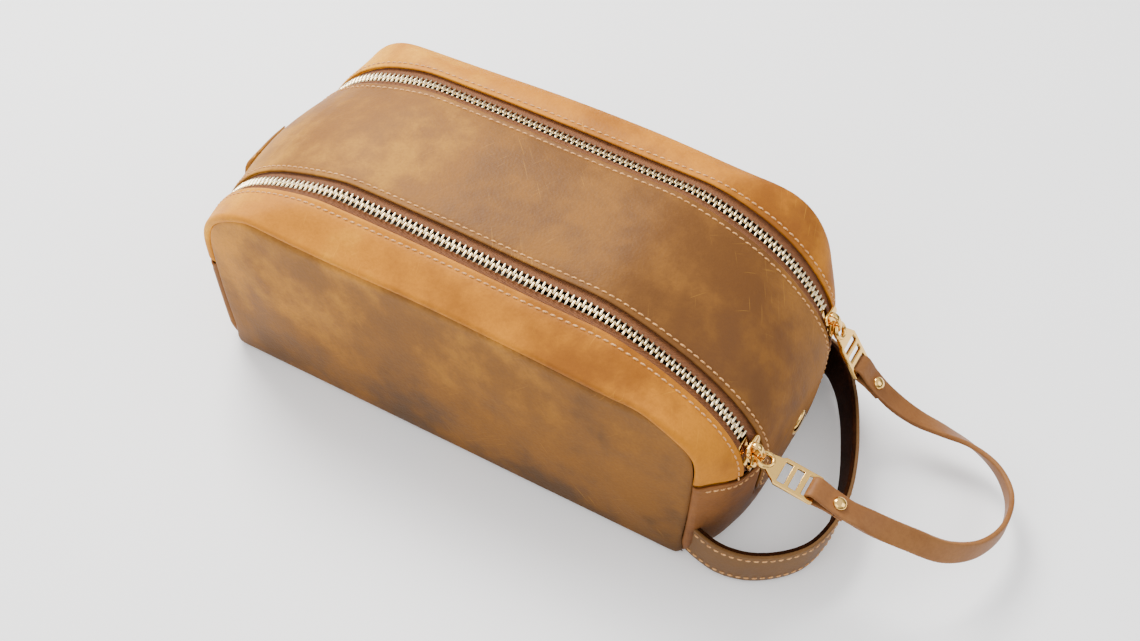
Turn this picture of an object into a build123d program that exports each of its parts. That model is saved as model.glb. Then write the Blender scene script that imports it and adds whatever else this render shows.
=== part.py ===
from build123d import *
from math import cos, hypot, pi, radians, sin
import os

# A leather shaving kit bag. It stands on its base, +Z up, with the origin at the centre of the
# base. X runs along the bag, and the zip pulls and the carrying handle are at its +X end. Two
# parallel zips run over the top and down both ends. Between them lies one long centre panel.
# Its right part is a lid that folds back over the top once both sliders have been drawn over
# the right shoulder, and the lid's tail snaps onto the right end wall.

# ---- driving dimensions, mm ----
BASE_LENGTH = 250.0        # front panel, corner to corner along the base
BASE_DEPTH = 135.0         # from the front seam to the back seam
SEAM_HEIGHT = 100.0        # top of the front and back panels
TOP_HEIGHT = 112.0         # crown of the centre panel
END_BULGE = 22.5           # how far the end walls stand beyond the base corners at mid depth
SEAM_CORNER = 31.0         # corner radius of the front and back panels
BASE_TRIM = 0.5            # cut off below, so that the base is a true plane
LEATHER = 2.0
LINING = 0.7
LINING_DEPTH = 7.0         # how far the loose lining hangs behind the leather's face
SNAP_GAP = 2.8             # room for the snap between the lid's tail and the end wall
BAND_HEIGHT = 49.0         # top of the bottom band on the end walls

ZIP_Y = 41.0               # distance of each zip from the middle of the bag
ZIP_HALF_GAP = 6.5         # half the opening between the two leather edges of a zip
TAPE = 0.6
TAPE_LAP = 7.0             # how far a tape reaches under the leather
CHAIN_HALF = 3.4           # half the width of the closed teeth
TOOTH_PITCH = 2.8
TOOTH_LENGTH = 1.2
TOOTH_HEIGHT = 2.2
TOOTH_SINK = 0.9           # depth of the tops of the teeth below the leather's face
TOOTH_OVERLAP = 0.9        # how far a tooth reaches past the middle of the chain

HINGE_X = 40.0             # fold of the lid
TAIL_END_Z = 18.0          # lower end of the lid's tail
TAIL_CORNER = 12.0
SNAP_Z = 38.0
SNAP_RADIUS = 6.25
SNAP_DOME = 1.8
SNAP_EDGE = 1.4            # rounding of the cap's rim
SOCKET = (5.4, 1.2)        # radius and thickness of the snap's socket
SOCKET_BACK = 2.1          # socket's base behind the tail's inner face
STUD = (4.6, 0.4)
BOARD_HALF_LENGTH = 116.0
BOARD_HALF_DEPTH = 60.0
BOARD_THICK = 1.8
TAB_HALF = 11.0            # grip tab on the left end
TAB_LOW = 38.0
TAB_HIGH = 76.0

SLIDER_Z = 62.0            # height of the sliders when the zips are closed
SLIDER_TILT = 68.0         # slope of the closed sliders below level, degrees
SLIDER_LENGTH = 13.0
SLIDER_WIDTH = 11.4
SLIDER_PLATE = 1.5
BAIL_LENGTH = 11.0
BAIL_WIDTH = 2.6
BAIL_WALL = 1.3
BAIL_ROOM = 3.0            # clear height under the bail
PLATE_CORNER = 2.5
POST = (2.0, 5.0, 1.0)     # slider's post: from, to and half its width
PIVOT_ALONG = 3.0          # pull's bar, from the slider's middle towards its lower end
PIVOT_ABOVE = 1.5          # pull's bar above the slider's top plate

PULL_LENGTH = 27.0
PULL_WIDTH = 15.0
PULL_NOSE = 8.6            # width at the ring end
PULL_THICK = 1.6
PULL_BAR = 1.0             # radius of the bar inside the bail
PULL_RING = 5.4            # end of the ring's hole
RING_WIDTH = 4.8
PULL_CORNER = 1.6
PULL_TAPER = 9.0           # where the pull reaches its full width
PULL_SLOTS = (10.6, 16.2, 22.8)   # middles of the slots; the strap goes through the last
SLOT_LENGTH = 12.6
SLOT_WIDTH = 3.3
END_BAR = 25.8             # middle of the bar that the strap folds round
PULL_Y = 42.3              # the pulls stand a little outside the zips' middle lines
FRONT_PULL_ANGLE = 9.0     # slope below level of the front pull, degrees
BACK_PULL_ANGLE = 57.0
FRONT_FOLD_ANGLE = 14.0    # slope below level of the strap's folded ends
BACK_FOLD_ANGLE = 38.0

STRAP_WIDTH = 10.0
STRAP_THICK = 2.6
FOLD_OUTER = 3.3           # radius of the strap's fold round the bar
FOLD_INNER = 1.7
FOLD_LENGTH = 14.6
FOLD_CLOSE = 8.0           # where the fold's two plies meet
FOLD_HOLLOW = 6.5          # end of the hollow round the bar
FOLD_EXTRA = 0.3           # a folded ply is a little thicker on each side
RIVET_ALONG = 11.3
RIVET_RADIUS = 3.1
RIVET_POST = 1.2
RIVET_DOME = 1.9
RIVET_BACK = 1.0           # thickness of the rivet's flat back
HANDLE_WIDTH = 22.0
HANDLE_PLY = 1.7           # each of the two plies of the handle
HANDLE_Z = 12.4            # middle of the handle's width above the ground
HANDLE_PIVOT_X = 131.0
HANDLE_ROOT = 18.0         # length of the sewn root, which stays still
PLY_GAP = 0.01             # half the gap between the handle's plies
STOP_LENGTH = 1.6
STOP_WIDTH = 1.5           # one top stop
BOTTOM_STOP_SHARE = 0.006  # places of the stops, as shares of the zip's line
TOP_STOP_SHARE = 0.9975
GAP = 0.3                  # clearance between pieces that move apart
PIECE_GAP = 0.1            # clearance between pieces that stay together
TAPE_GAP = 0.02            # clearance between a tape and the leather above it
BIG = 400.0                # side of a cutting box, larger than the bag

# Middle line of the carrying handle seen from above, from the front root to the back root.
HANDLE_PLAN = [
    (134.2, -64.8), (141.5, -66.2), (152.5, -64.6), (165.0, -57.5), (174.5, -46.5), (178.6, -31.0),
    (178.0, -14.0), (173.8, 4.0), (167.0, 22.5), (158.5, 40.5), (149.0, 54.5), (141.5, 61.2), (134.2, 64.2),
]
# Middle line of the wrist strap between its two folded ends: x, y, z and how far the flat strap
# is turned up on edge, degrees.
STRAP_ROUTE = [
    (196.5, -38.8, 46.5, 22), (212.5, -33.0, 38.5, 45), (228.0, -24.5, 28.5, 68), (239.5, -10.5, 21.0, 85),
    (245.0, 8.0, 17.0, 90), (242.0, 25.5, 15.3, 88), (232.0, 37.5, 15.0, 74), (218.0, 43.5, 15.6, 52),
    (204.0, 44.0, 17.0, 28), (190.5, 43.0, 19.6, 10),
]

HALF_LENGTH = BASE_LENGTH / 2
HALF_DEPTH = BASE_DEPTH / 2
LID_HALF = ZIP_Y - ZIP_HALF_GAP - GAP
GUSSET_INNER = ZIP_Y + ZIP_HALF_GAP
CENTRE_HALF = ZIP_Y - ZIP_HALF_GAP
SEAT_INSET = LEATHER + SNAP_GAP
SNAP_X = HALF_LENGTH + 22.5
ZIP_END_Z = BAND_HEIGHT + 3.0
LAST_TOOTH_Z = SLIDER_Z + SLIDER_LENGTH / 2 + 2.0
PLATE_TOP = SLIDER_PLATE - TOOTH_SINK + GAP
PIVOT_Z = PLATE_TOP + PIVOT_ABOVE
PANEL_INNER = HALF_DEPTH - LEATHER
SEAM_FLAT = HALF_LENGTH + 3.0 - SEAM_CORNER

# Cross-sections of the bag's outside at four distances from the middle: y, foot x, widest x,
# its z, top z, end of the flat top x, and the shoulder's middle point x and z.
STATIONS = [
    (0.0, HALF_LENGTH + 16.0, HALF_LENGTH + END_BULGE, 50.0, TOP_HEIGHT, 63.0, 115.0, 94.0),
    (ZIP_Y, HALF_LENGTH + 13.0, HALF_LENGTH + 18.5, 52.0, TOP_HEIGHT - 2.8, 63.0, 112.5, 91.4),
    (56.0, HALF_LENGTH + 8.0, HALF_LENGTH + 12.5, 58.0, TOP_HEIGHT - 6.2, 78.0, 115.5, 91.4),
    (HALF_DEPTH, HALF_LENGTH, HALF_LENGTH + 3.0, SEAM_HEIGHT - SEAM_CORNER, SEAM_HEIGHT, SEAM_FLAT,
     SEAM_FLAT + SEAM_CORNER * sin(pi / 4), SEAM_HEIGHT - SEAM_CORNER * (1 - cos(pi / 4))),
]


def section(station, y, inset):
    """Closed outline of the bag at y, drawn in by inset all round."""
    _, foot, widest, widest_z, top, flat, mid_x, mid_z = station
    reach = hypot(mid_x - flat, mid_z - widest_z)
    shoulder = (mid_x - inset * (mid_x - flat) / reach, mid_z - inset * (mid_z - widest_z) / reach)
    right = [(foot - inset, inset - BASE_TRIM), (widest - inset, widest_z), shoulder, (flat, top - inset)]

    def at(point, side):
        """Point in space on the left (-1) or right (1) half."""
        return Vector(side * point[0], y, point[1])

    def wall(side):
        """Lower and upper edges of one end wall."""
        turn = Vector(side * 0.35, 0, 1)
        low = Edge.make_spline([at(right[0], side), at(right[1], side)], [turn, Vector(0, 0, 1)])
        high = Edge.make_spline([at(right[1], side), at(right[2], side), at(right[3], side)],
                                [Vector(0, 0, 1), Vector(-side, 0, 0)])
        return low, high

    right_low, right_high = wall(1)
    left_low, left_high = wall(-1)
    bottom = Edge.make_line(at(right[0], -1), at(right[0], 1))
    lid_line = Edge.make_line(at(right[3], 1), at(right[3], -1))
    return Wire([bottom, right_low, right_high, lid_line, left_high, left_low])


def body_of(inset):
    """The bag as one solid, drawn in by inset on every side."""
    rows = [(-station[0], station) for station in reversed(STATIONS)]
    rows += [(station[0], station) for station in STATIONS[1:]]
    wires = []
    for y, station in rows:
        edge = abs(y) == HALF_DEPTH
        place = y - inset * (1 if y > 0 else -1) if edge else y
        wires.append(section(station, place, inset))
    return Solid.make_loft(wires, ruled=False)


def block(x_range, y_range, z_range):
    """Box between the given limits."""
    size = [high - low for low, high in (x_range, y_range, z_range)]
    middle = [(high + low) / 2 for low, high in (x_range, y_range, z_range)]
    return Pos(*middle) * Box(*size)


def shell(outer_inset, inner_inset, x_range=(-BIG, BIG), y_range=(-BIG, BIG), z_range=(-BIG, BIG)):
    """The skin between two insets, kept inside the given box."""
    return (body_of(outer_inset) & block(x_range, y_range, z_range)) - body_of(inner_inset)


def zip_path(side, inset):
    """Line of one zip from the left end, over the top, to the right end."""
    whole = section(STATIONS[1], side * ZIP_Y, inset)
    upper = [edge for edge in whole.edges() if edge.center().Z > BAND_HEIGHT]
    path = Wire(upper)
    if path.position_at(0).X < 0:
        return path
    return Wire([edge.reversed() for edge in upper])


def plane_at(path, share):
    """Plane on the zip's line: X along it to the right, Z away from the bag."""
    tangent = path.tangent_at(share)
    tangent = tangent if (path.position_at(1).X > 0) else tangent * -1
    return Plane(path.position_at(share), x_dir=tangent, z_dir=Vector(-tangent.Z, 0, tangent.X))


def write(name, shape):
    """Write one piece to its own file."""
    export_step(shape, os.path.join("parts", name + ".step"))


def y_band(side, near, far):
    """Range of y from near to far on one side of the bag."""
    return (near, far) if side > 0 else (-far, -near)


# ---- leather shell ----
def side_panel(side):
    """Front or back panel."""
    return body_of(0) & block((-BIG, BIG), y_band(side, PANEL_INNER, BIG), (0, BIG))


def gusset(side):
    """Strip between a zip and the front or back panel."""
    return shell(0, LEATHER, y_range=y_band(side, GUSSET_INNER, PANEL_INNER), z_range=(BAND_HEIGHT, BIG))


def bottom_band():
    """Base and both lower end walls; the right wall is set back under the lid's tail."""
    reach = CENTRE_HALF + LEATHER
    solid = body_of(0) & block((-BIG, BIG), (-PANEL_INNER, PANEL_INNER), (0, BAND_HEIGHT))
    thick = block((0, BIG), (-reach, reach), (TAIL_END_Z - GAP - LEATHER, BIG))
    recess = block((0, BIG), (-CENTRE_HALF, CENTRE_HALF), (TAIL_END_Z - GAP, BIG)) - body_of(SEAT_INSET)
    inside = (body_of(LEATHER) - thick) + (body_of(LEATHER + SEAT_INSET) & thick)
    return (solid - inside) - recess


def left_top_panel():
    """Part of the centre panel that stays closed."""
    return shell(0, LEATHER, (-BIG, HINGE_X), (-CENTRE_HALF, CENTRE_HALF), (BAND_HEIGHT, BIG))


def lid_panel():
    """Lid and its tail, which has round lower corners."""
    tall = BIG + TAIL_CORNER
    outline = Rectangle(2 * LID_HALF, tall)
    outline = fillet(outline.vertices().sort_by(Axis.Y)[:2], TAIL_CORNER)
    prism = Plane(origin=(0, 0, TAIL_END_Z + tall / 2), x_dir=(0, 1, 0), z_dir=(1, 0, 0)) * outline
    skin = shell(0, LEATHER, (HINGE_X, BIG), (-LID_HALF, LID_HALF), (TAIL_END_Z, BIG))
    return skin & extrude(prism, BIG, both=True)


def lid_lining():
    """Thin lining under the lid."""
    outer = LEATHER + TAPE + PIECE_GAP
    return shell(outer, outer + LINING, (HINGE_X, BIG), (-LID_HALF, LID_HALF), (ZIP_END_Z, BIG))


def lining():
    """Loose lining, open under the lid and the zips."""
    bag = shell(LINING_DEPTH, LINING_DEPTH + LINING)
    reach = GUSSET_INNER + 1.0
    return bag - block((HINGE_X - LEATHER, BIG), (-reach, reach), (BAND_HEIGHT - LEATHER, BIG))


def base_board():
    """Stiffener that lies on the base."""
    low = LEATHER + PIECE_GAP
    length = (-BOARD_HALF_LENGTH, BOARD_HALF_LENGTH)
    return block(length, (-BOARD_HALF_DEPTH, BOARD_HALF_DEPTH), (low, low + BOARD_THICK))


def grip_tab():
    """Short strip on the left end, to hold while zipping."""
    face = -2 * PIECE_GAP
    return shell(face - LEATHER, face, (-BIG, 0), (-TAB_HALF, TAB_HALF), (TAB_LOW, TAB_HIGH))


# ---- zips ----
def tape(side, near, far, x_range):
    """One tape, cut away where the closed slider draws it together."""
    top = LEATHER + TAPE_GAP
    skin = shell(top, top + TAPE, x_range, y_band(side, near, far), (ZIP_END_Z, BIG))
    reach = SLIDER_LENGTH / 2 + GAP
    width = SLIDER_WIDTH / 2 + GAP
    notch = slider_plane(side) * block((-reach, BIG), (-width, width), (-2 * reach, reach))
    return skin - notch


def outer_tape(side):
    """Tape sewn under the gusset."""
    return tape(side, ZIP_Y + CHAIN_HALF, GUSSET_INNER + TAPE_LAP, (-BIG, BIG))


def lid_tape(side):
    """Tape sewn under the lid."""
    return tape(side, LID_HALF - TAPE_LAP, ZIP_Y - CHAIN_HALF, (HINGE_X, BIG))


def left_inner_tapes():
    """Tapes sewn under the part of the centre panel that stays closed."""
    return group([tape(side, LID_HALF - TAPE_LAP, ZIP_Y - CHAIN_HALF, (-BIG, HINGE_X)) for side in (-1, 1)])


def tooth_row(side, outward, shift):
    """One row of teeth; outward is 1 for the gusset's row and -1 for the centre panel's."""
    path = zip_path(side, TOOTH_SINK + TOOTH_HEIGHT / 2)
    wide = CHAIN_HALF + TOOTH_OVERLAP
    middle = side * outward * (CHAIN_HALF - TOOTH_OVERLAP) / 2
    tooth = Pos(0, middle, 0) * Box(TOOTH_LENGTH, wide, TOOTH_HEIGHT)
    teeth = []
    for index in range(int(path.length / TOOTH_PITCH)):
        share = (index + shift) * TOOTH_PITCH / path.length
        place = plane_at(path, share)
        start = place.origin.X < 0 and place.origin.Z > ZIP_END_Z + TOOTH_PITCH
        end = place.origin.X > 0 and place.origin.Z > LAST_TOOTH_Z
        if start or end:
            teeth.append(place * tooth)
    return teeth


def group(pieces):
    """Many separate solids in one node."""
    return Compound(children=[solid for piece in pieces for solid in piece.solids()])


def split_teeth(teeth, lid):
    """The teeth on the lid's side or on the fixed side of the fold."""
    margin = TOOTH_LENGTH / 2
    if lid:
        return [tooth for tooth in teeth if tooth.center().X > HINGE_X + margin]
    return [tooth for tooth in teeth if tooth.center().X < HINGE_X - margin]


def stop_at(side, share, offset, width):
    """Small metal stop on the zip's line."""
    path = zip_path(side, TOOTH_SINK + TOOTH_HEIGHT / 2)
    return plane_at(path, share) * Pos(0, offset, 0) * Box(STOP_LENGTH, width, TOOTH_HEIGHT + GAP)


def slider_plane(side):
    """Middle of a closed slider on the leather's face: X down the zip, Z outwards."""
    path = zip_path(side, 0)
    share = max(step / 2000 for step in range(1000, 2001) if path.position_at(step / 2000).Z >= SLIDER_Z)
    tilt = radians(SLIDER_TILT)
    spot = path.position_at(share)
    return Plane(spot, x_dir=(cos(tilt), 0, -sin(tilt)), z_dir=(sin(tilt), 0, cos(tilt)))


def slider(side):
    """Two plates joined by a post, with the bail on top."""
    low_top = -TOOTH_SINK - TOOTH_HEIGHT - GAP
    plate = Box(SLIDER_LENGTH, SLIDER_WIDTH, SLIDER_PLATE)
    plate = fillet(plate.edges().filter_by(Axis.Z), PLATE_CORNER)
    top = Pos(0, 0, PLATE_TOP - SLIDER_PLATE / 2) * plate
    low = Pos(0, 0, low_top - SLIDER_PLATE / 2) * plate
    post = block(POST[:2], (-POST[2], POST[2]), (low_top, PLATE_TOP - SLIDER_PLATE))
    height = BAIL_ROOM + BAIL_WALL
    bail = Pos(0, 0, PLATE_TOP + height / 2) * Box(BAIL_LENGTH, BAIL_WIDTH, height)
    bail = bail - Pos(0, 0, PLATE_TOP + BAIL_ROOM / 2) * Box(BAIL_LENGTH - 2 * BAIL_WALL, BIG, BAIL_ROOM)
    return slider_plane(side) * (top + low + post + bail)


# ---- pulls and wrist strap ----
def pivot(side):
    """Middle of the pull's bar inside the bail."""
    spot = slider_plane(side).from_local_coords(Vector(PIVOT_ALONG, 0, PIVOT_Z))
    return Vector(spot.X, side * PULL_Y, spot.Z)


def hanging_plane(origin, angle):
    """Plane whose X slopes down from level by angle, in line with the bag."""
    slope = radians(angle)
    return Plane(origin, x_dir=(cos(slope), 0, -sin(slope)), z_dir=(sin(slope), 0, cos(slope)))


def pull(side, angle):
    """Flat pull plate with three slots, and a bar through the bail."""
    shift = side * (ZIP_Y - PULL_Y)
    nose = PULL_NOSE / 2
    half = PULL_WIDTH / 2
    outline = Polygon((-PULL_BAR, shift - nose), (PULL_TAPER, -half), (PULL_LENGTH, -half),
                      (PULL_LENGTH, half), (PULL_TAPER, half), (-PULL_BAR, shift + nose), align=None)
    plate = fillet(outline.vertices(), PULL_CORNER)
    ring = Pos(PULL_RING / 2 - PULL_BAR, shift) * Rectangle(PULL_RING + 2 * PULL_BAR, RING_WIDTH)
    slots = [Pos(middle, 0) * SlotOverall(SLOT_LENGTH, SLOT_WIDTH, rotation=90) for middle in PULL_SLOTS]
    flat = extrude(plate - ring - slots, PULL_THICK / 2, both=True)
    bar = Pos(0, shift, 0) * Rot(90, 0, 0) * Cylinder(PULL_BAR, PULL_NOSE - 2 * PULL_BAR)
    return hanging_plane(pivot(side), angle) * (flat + bar)


def fold_plane(side, pull_angle, fold_angle):
    """Middle of the bar that the strap folds round, turned to the strap's own slope."""
    bar = hanging_plane(pivot(side), pull_angle).from_local_coords(Vector(END_BAR, 0, 0))
    return hanging_plane(bar, fold_angle)


def strap_fold(side, pull_angle, fold_angle):
    """Folded and riveted end of the strap."""
    thin = STRAP_THICK / 2 + FOLD_EXTRA
    plies = Polygon((0, FOLD_OUTER), (FOLD_CLOSE, thin), (FOLD_LENGTH, thin), (FOLD_LENGTH, -thin),
                    (FOLD_CLOSE, -thin), (0, -FOLD_OUTER), align=None)
    outer = Circle(FOLD_OUTER) + plies
    inner = Circle(FOLD_INNER) + Polygon((0, FOLD_INNER), (FOLD_HOLLOW, 0), (0, -FOLD_INNER), align=None)
    profile = Plane.XZ * (outer - inner)
    hole = Pos(RIVET_ALONG, 0, 0) * Cylinder(RIVET_POST, BIG)
    fold = extrude(profile, STRAP_WIDTH / 2, both=True) - hole
    return fold_plane(side, pull_angle, fold_angle) * fold


def rivet(side, pull_angle, fold_angle):
    """Domed rivet through the strap's fold, with a flat back."""
    face = STRAP_THICK / 2 + FOLD_EXTRA
    dome = Pos(0, 0, face) * (Sphere(RIVET_RADIUS) & block((-BIG, BIG), (-BIG, BIG), (0, RIVET_DOME)))
    post = Cylinder(RIVET_POST, 2 * face)
    back = Pos(0, 0, -face - RIVET_BACK / 2) * Cylinder(RIVET_RADIUS - GAP, RIVET_BACK)
    return fold_plane(side, pull_angle, fold_angle) * Pos(RIVET_ALONG, 0, 0) * (dome + post + back)


def strap_section(position, tangent, turn):
    """Cross-section of the strap, turned up on edge by turn degrees."""
    level = Vector(0, 0, 1).cross(tangent).normalized()
    rise = tangent.cross(level)
    across = level * cos(radians(turn)) + rise * sin(radians(turn))
    return Plane(position, x_dir=across, z_dir=tangent) * Rectangle(STRAP_WIDTH, STRAP_THICK)


def wrist_strap():
    """One strap between the two pulls, turned on edge round its far end."""
    front = fold_plane(-1, FRONT_PULL_ANGLE, FRONT_FOLD_ANGLE)
    back = fold_plane(1, BACK_PULL_ANGLE, BACK_FOLD_ANGLE)
    start = front.from_local_coords(Vector(FOLD_LENGTH, 0, 0))
    finish = back.from_local_coords(Vector(FOLD_LENGTH, 0, 0))
    points = [start] + [Vector(x, y, z) for x, y, z, _ in STRAP_ROUTE] + [finish]
    turns = [0] + [turn for _, _, _, turn in STRAP_ROUTE] + [0]
    line = Edge.make_spline(points, [front.x_dir, back.x_dir * -1])
    rows = []
    for point, turn in zip(points, turns):
        share = line.param_at_point(point)
        rows.append(strap_section(point, line.tangent_at(share, PositionMode.PARAMETER), turn))
    body = loft(rows)
    ends = [strap_fold(-1, FRONT_PULL_ANGLE, FRONT_FOLD_ANGLE)]
    ends += [strap_fold(1, BACK_PULL_ANGLE, BACK_FOLD_ANGLE)]
    return body + ends


# ---- handle ----
def handle_ply(outer):
    """One ply of the handle, standing on edge along its plan line."""
    line = Edge.make_spline([Vector(x, y, HANDLE_Z) for x, y in HANDLE_PLAN])
    offset = HANDLE_PLY / 2 + PLY_GAP
    side = -offset if outer else offset
    heading = line.tangent_at(0)
    start = Plane(line.position_at(0), x_dir=Vector(0, 0, 1).cross(heading), z_dir=heading)
    profile = start * Pos(side, 0) * Rectangle(HANDLE_PLY, HANDLE_WIDTH)
    return sweep(profile, path=line)


def root_cylinder(radius):
    """Round boundary between the sewn roots and the swinging part."""
    return Pos(HANDLE_PIVOT_X, 0, HANDLE_Z) * Rot(90, 0, 0) * Cylinder(radius, BIG)


# ---- snap ----
def snap_disc(x_low, radius, thick):
    """Round disc of the snap, standing out from x_low."""
    place = Plane((x_low, 0, SNAP_Z), x_dir=(0, 1, 0), z_dir=(1, 0, 0))
    return place * Pos(0, 0, thick / 2) * Cylinder(radius, thick)


def snap_cap():
    """Domed cap on the outside of the tail."""
    return fillet(snap_disc(SNAP_X, SNAP_RADIUS, SNAP_DOME).edges().sort_by(Axis.X)[-1], SNAP_EDGE)


def main():
    """Make and write every piece."""
    os.makedirs("parts", exist_ok=True)
    angles = {-1: (FRONT_PULL_ANGLE, FRONT_FOLD_ANGLE), 1: (BACK_PULL_ANGLE, BACK_FOLD_ANGLE)}
    left_teeth = []
    for side, word in ((-1, "front"), (1, "back")):
        write(word + "_panel", side_panel(side))
        write(word + "_gusset", gusset(side))
        write(word + "_outer_tape", outer_tape(side))
        write(word + "_lid_tape", lid_tape(side))
        write(word + "_outer_teeth", group(tooth_row(side, 1, 0.5)))
        inner_row = tooth_row(side, -1, 1.0)
        write(word + "_lid_teeth", group(split_teeth(inner_row, True)))
        left_teeth += split_teeth(inner_row, False)
        write(word + "_slider", slider(side))
        write(word + "_pull", pull(side, angles[side][0]))
        write(word + "_rivet", rivet(side, *angles[side]))
    write("left_inner_teeth", group(left_teeth))
    write("left_inner_tapes", left_inner_tapes())
    write("bottom_stops", group([stop_at(side, BOTTOM_STOP_SHARE, 0, 2 * CHAIN_HALF) for side in (-1, 1)]))
    edge = CHAIN_HALF - STOP_WIDTH / 2
    for name, outward in (("outer_top_stops", 1), ("lid_top_stops", -1)):
        pair = [stop_at(side, TOP_STOP_SHARE, side * outward * edge, STOP_WIDTH) for side in (-1, 1)]
        write(name, group(pair))
    write("bottom_band", bottom_band())
    write("left_top_panel", left_top_panel())
    write("lid_panel", lid_panel())
    write("lid_lining", lid_lining())
    write("lining", lining())
    write("base_board", base_board())
    write("grip_tab", grip_tab())
    write("wrist_strap", wrist_strap())
    plies = [handle_ply(True), handle_ply(False)]
    keep_out = root_cylinder(HANDLE_ROOT + GAP)
    write("handle_outer_ply", plies[0] - keep_out)
    write("handle_inner_ply", plies[1] - keep_out)
    write("handle_roots", group([ply & root_cylinder(HANDLE_ROOT) for ply in plies]))
    write("snap_cap", snap_cap())
    write("snap_socket", snap_disc(SNAP_X - LEATHER - SOCKET_BACK, *SOCKET))
    write("snap_stud", snap_disc(SNAP_X - SEAT_INSET, *STUD))


main()
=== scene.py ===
"""Looks of a leather shaving kit bag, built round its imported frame.

The bag's skin is one surface worked out from four cross-sections. Every leather sheet, zip, seam
and the lining are cut from it, so that they all meet. Lengths in the classes are millimetres.
"""

import logging
import math
from dataclasses import dataclass, field, replace
from enum import Enum

import bmesh
import bpy
import numpy as np
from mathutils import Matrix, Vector


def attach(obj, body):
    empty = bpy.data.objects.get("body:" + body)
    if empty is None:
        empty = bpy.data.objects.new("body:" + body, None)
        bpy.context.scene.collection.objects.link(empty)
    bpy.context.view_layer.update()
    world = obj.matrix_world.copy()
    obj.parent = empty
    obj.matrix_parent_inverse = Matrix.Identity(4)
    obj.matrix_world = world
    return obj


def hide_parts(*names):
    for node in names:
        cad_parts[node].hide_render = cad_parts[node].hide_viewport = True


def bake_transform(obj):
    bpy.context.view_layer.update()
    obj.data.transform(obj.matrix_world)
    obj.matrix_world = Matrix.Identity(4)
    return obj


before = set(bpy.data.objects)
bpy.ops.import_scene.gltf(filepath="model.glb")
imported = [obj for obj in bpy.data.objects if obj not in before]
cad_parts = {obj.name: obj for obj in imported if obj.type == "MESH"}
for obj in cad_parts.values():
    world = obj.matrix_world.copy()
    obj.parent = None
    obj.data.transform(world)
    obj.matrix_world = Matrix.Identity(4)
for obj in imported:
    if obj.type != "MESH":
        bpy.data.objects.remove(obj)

MM = 0.001
SEED = 7
LOG = logging.getLogger("shaving_kit_bag")
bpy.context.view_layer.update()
BAG_MIDDLE = np.array([0.0, 0.0, 50.0])


# ---------------------------------------------------------------- arrays and meshes
def unit(vectors: np.ndarray) -> np.ndarray:
    """Each vector divided by its length."""
    return vectors / np.maximum(np.linalg.norm(vectors, axis=-1, keepdims=True), 1e-12)


def reach_along(line: np.ndarray) -> np.ndarray:
    """Distance along a line up to each of its points: the running sum of its steps."""
    return np.concatenate([[0.0], np.cumsum(np.linalg.norm(np.diff(line, axis=0), axis=1))])


def sampled(line: np.ndarray, reach: np.ndarray, wanted: np.ndarray) -> np.ndarray:
    """A line's columns at the wanted distances along it."""
    return np.stack([np.interp(wanted, reach, column) for column in line.T], axis=-1)


def map_grid(along: np.ndarray, over: np.ndarray) -> np.ndarray:
    """Grid of map coordinates from two arrays that broadcast together."""
    return np.stack(np.broadcast_arrays(along, over), axis=-1)


def ease(value: np.ndarray) -> np.ndarray:
    """Smooth step: 3v squared minus 2v cubed, with v held between 0 and 1."""
    held = np.clip(value, 0.0, 1.0)
    return held * held * (3.0 - 2.0 * held)


def cubic(start: np.ndarray, end: np.ndarray, leave: np.ndarray, arrive: np.ndarray,
          share: np.ndarray) -> np.ndarray:
    """Cubic between two values: their eased blend, plus a bend for each end's slope.

    Formula: blend plus leave times s(1-s)(1-s), minus arrive times s(1-s)s, where s is the share.

    Args:
        start: value at share 0.
        end: value at share 1.
        leave: slope at the start, times the step's width.
        arrive: slope at the end, times the step's width.
        share: how far along the step, 0 to 1.

    Returns:
        The blended value.
    """
    rise = share * (1 - share)
    return start + (end - start) * ease(share) + leave * rise * (1 - share) - arrive * rise * share


def edge_drop(distance: np.ndarray, radius: float) -> np.ndarray:
    """How far a rounded edge has dropped at a distance in from its rim.

    Formula: r minus the root of (r squared minus (r minus d) squared), and 0 beyond r.
    """
    inside = np.clip(radius - distance, 0.0, radius)
    return radius - np.sqrt(np.maximum(radius * radius - inside * inside, 0.0))


def grid_normals(grid: np.ndarray) -> np.ndarray:
    """Unit normals of a grid of points, from the cross product of its two directions.

    Args:
        grid: grid of points.

    Returns:
        Unit normals.
    """
    along = np.gradient(grid, axis=0)
    across = np.gradient(grid, axis=1)
    return unit(np.cross(along, across))


def grid_quads(rows: int, columns: int, wrap: bool = False) -> np.ndarray:
    """Quads between neighbouring points of a grid, as an array of vertex numbers.

    Args:
        rows: number of rows.
        columns: number of columns.
        wrap: whether the last column joins the first.

    Returns:
        Four vertex numbers a face.
    """
    last = columns if wrap else columns - 1
    row, column = np.meshgrid(np.arange(rows - 1), np.arange(last), indexing="ij")
    beside = (column + 1) % columns
    corners = [row * columns + column, (row + 1) * columns + column,
               (row + 1) * columns + beside, row * columns + beside]
    return np.stack(corners, axis=-1).reshape(-1, 4)


def strip_cap(count: int, first: int) -> np.ndarray:
    """Quads that close a ring of an even number of points by joining each to its mirror point."""
    low = np.arange(count // 2 - 1)
    return first + np.stack([low, low + 1, count - 2 - low, count - 1 - low], axis=-1)


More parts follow.
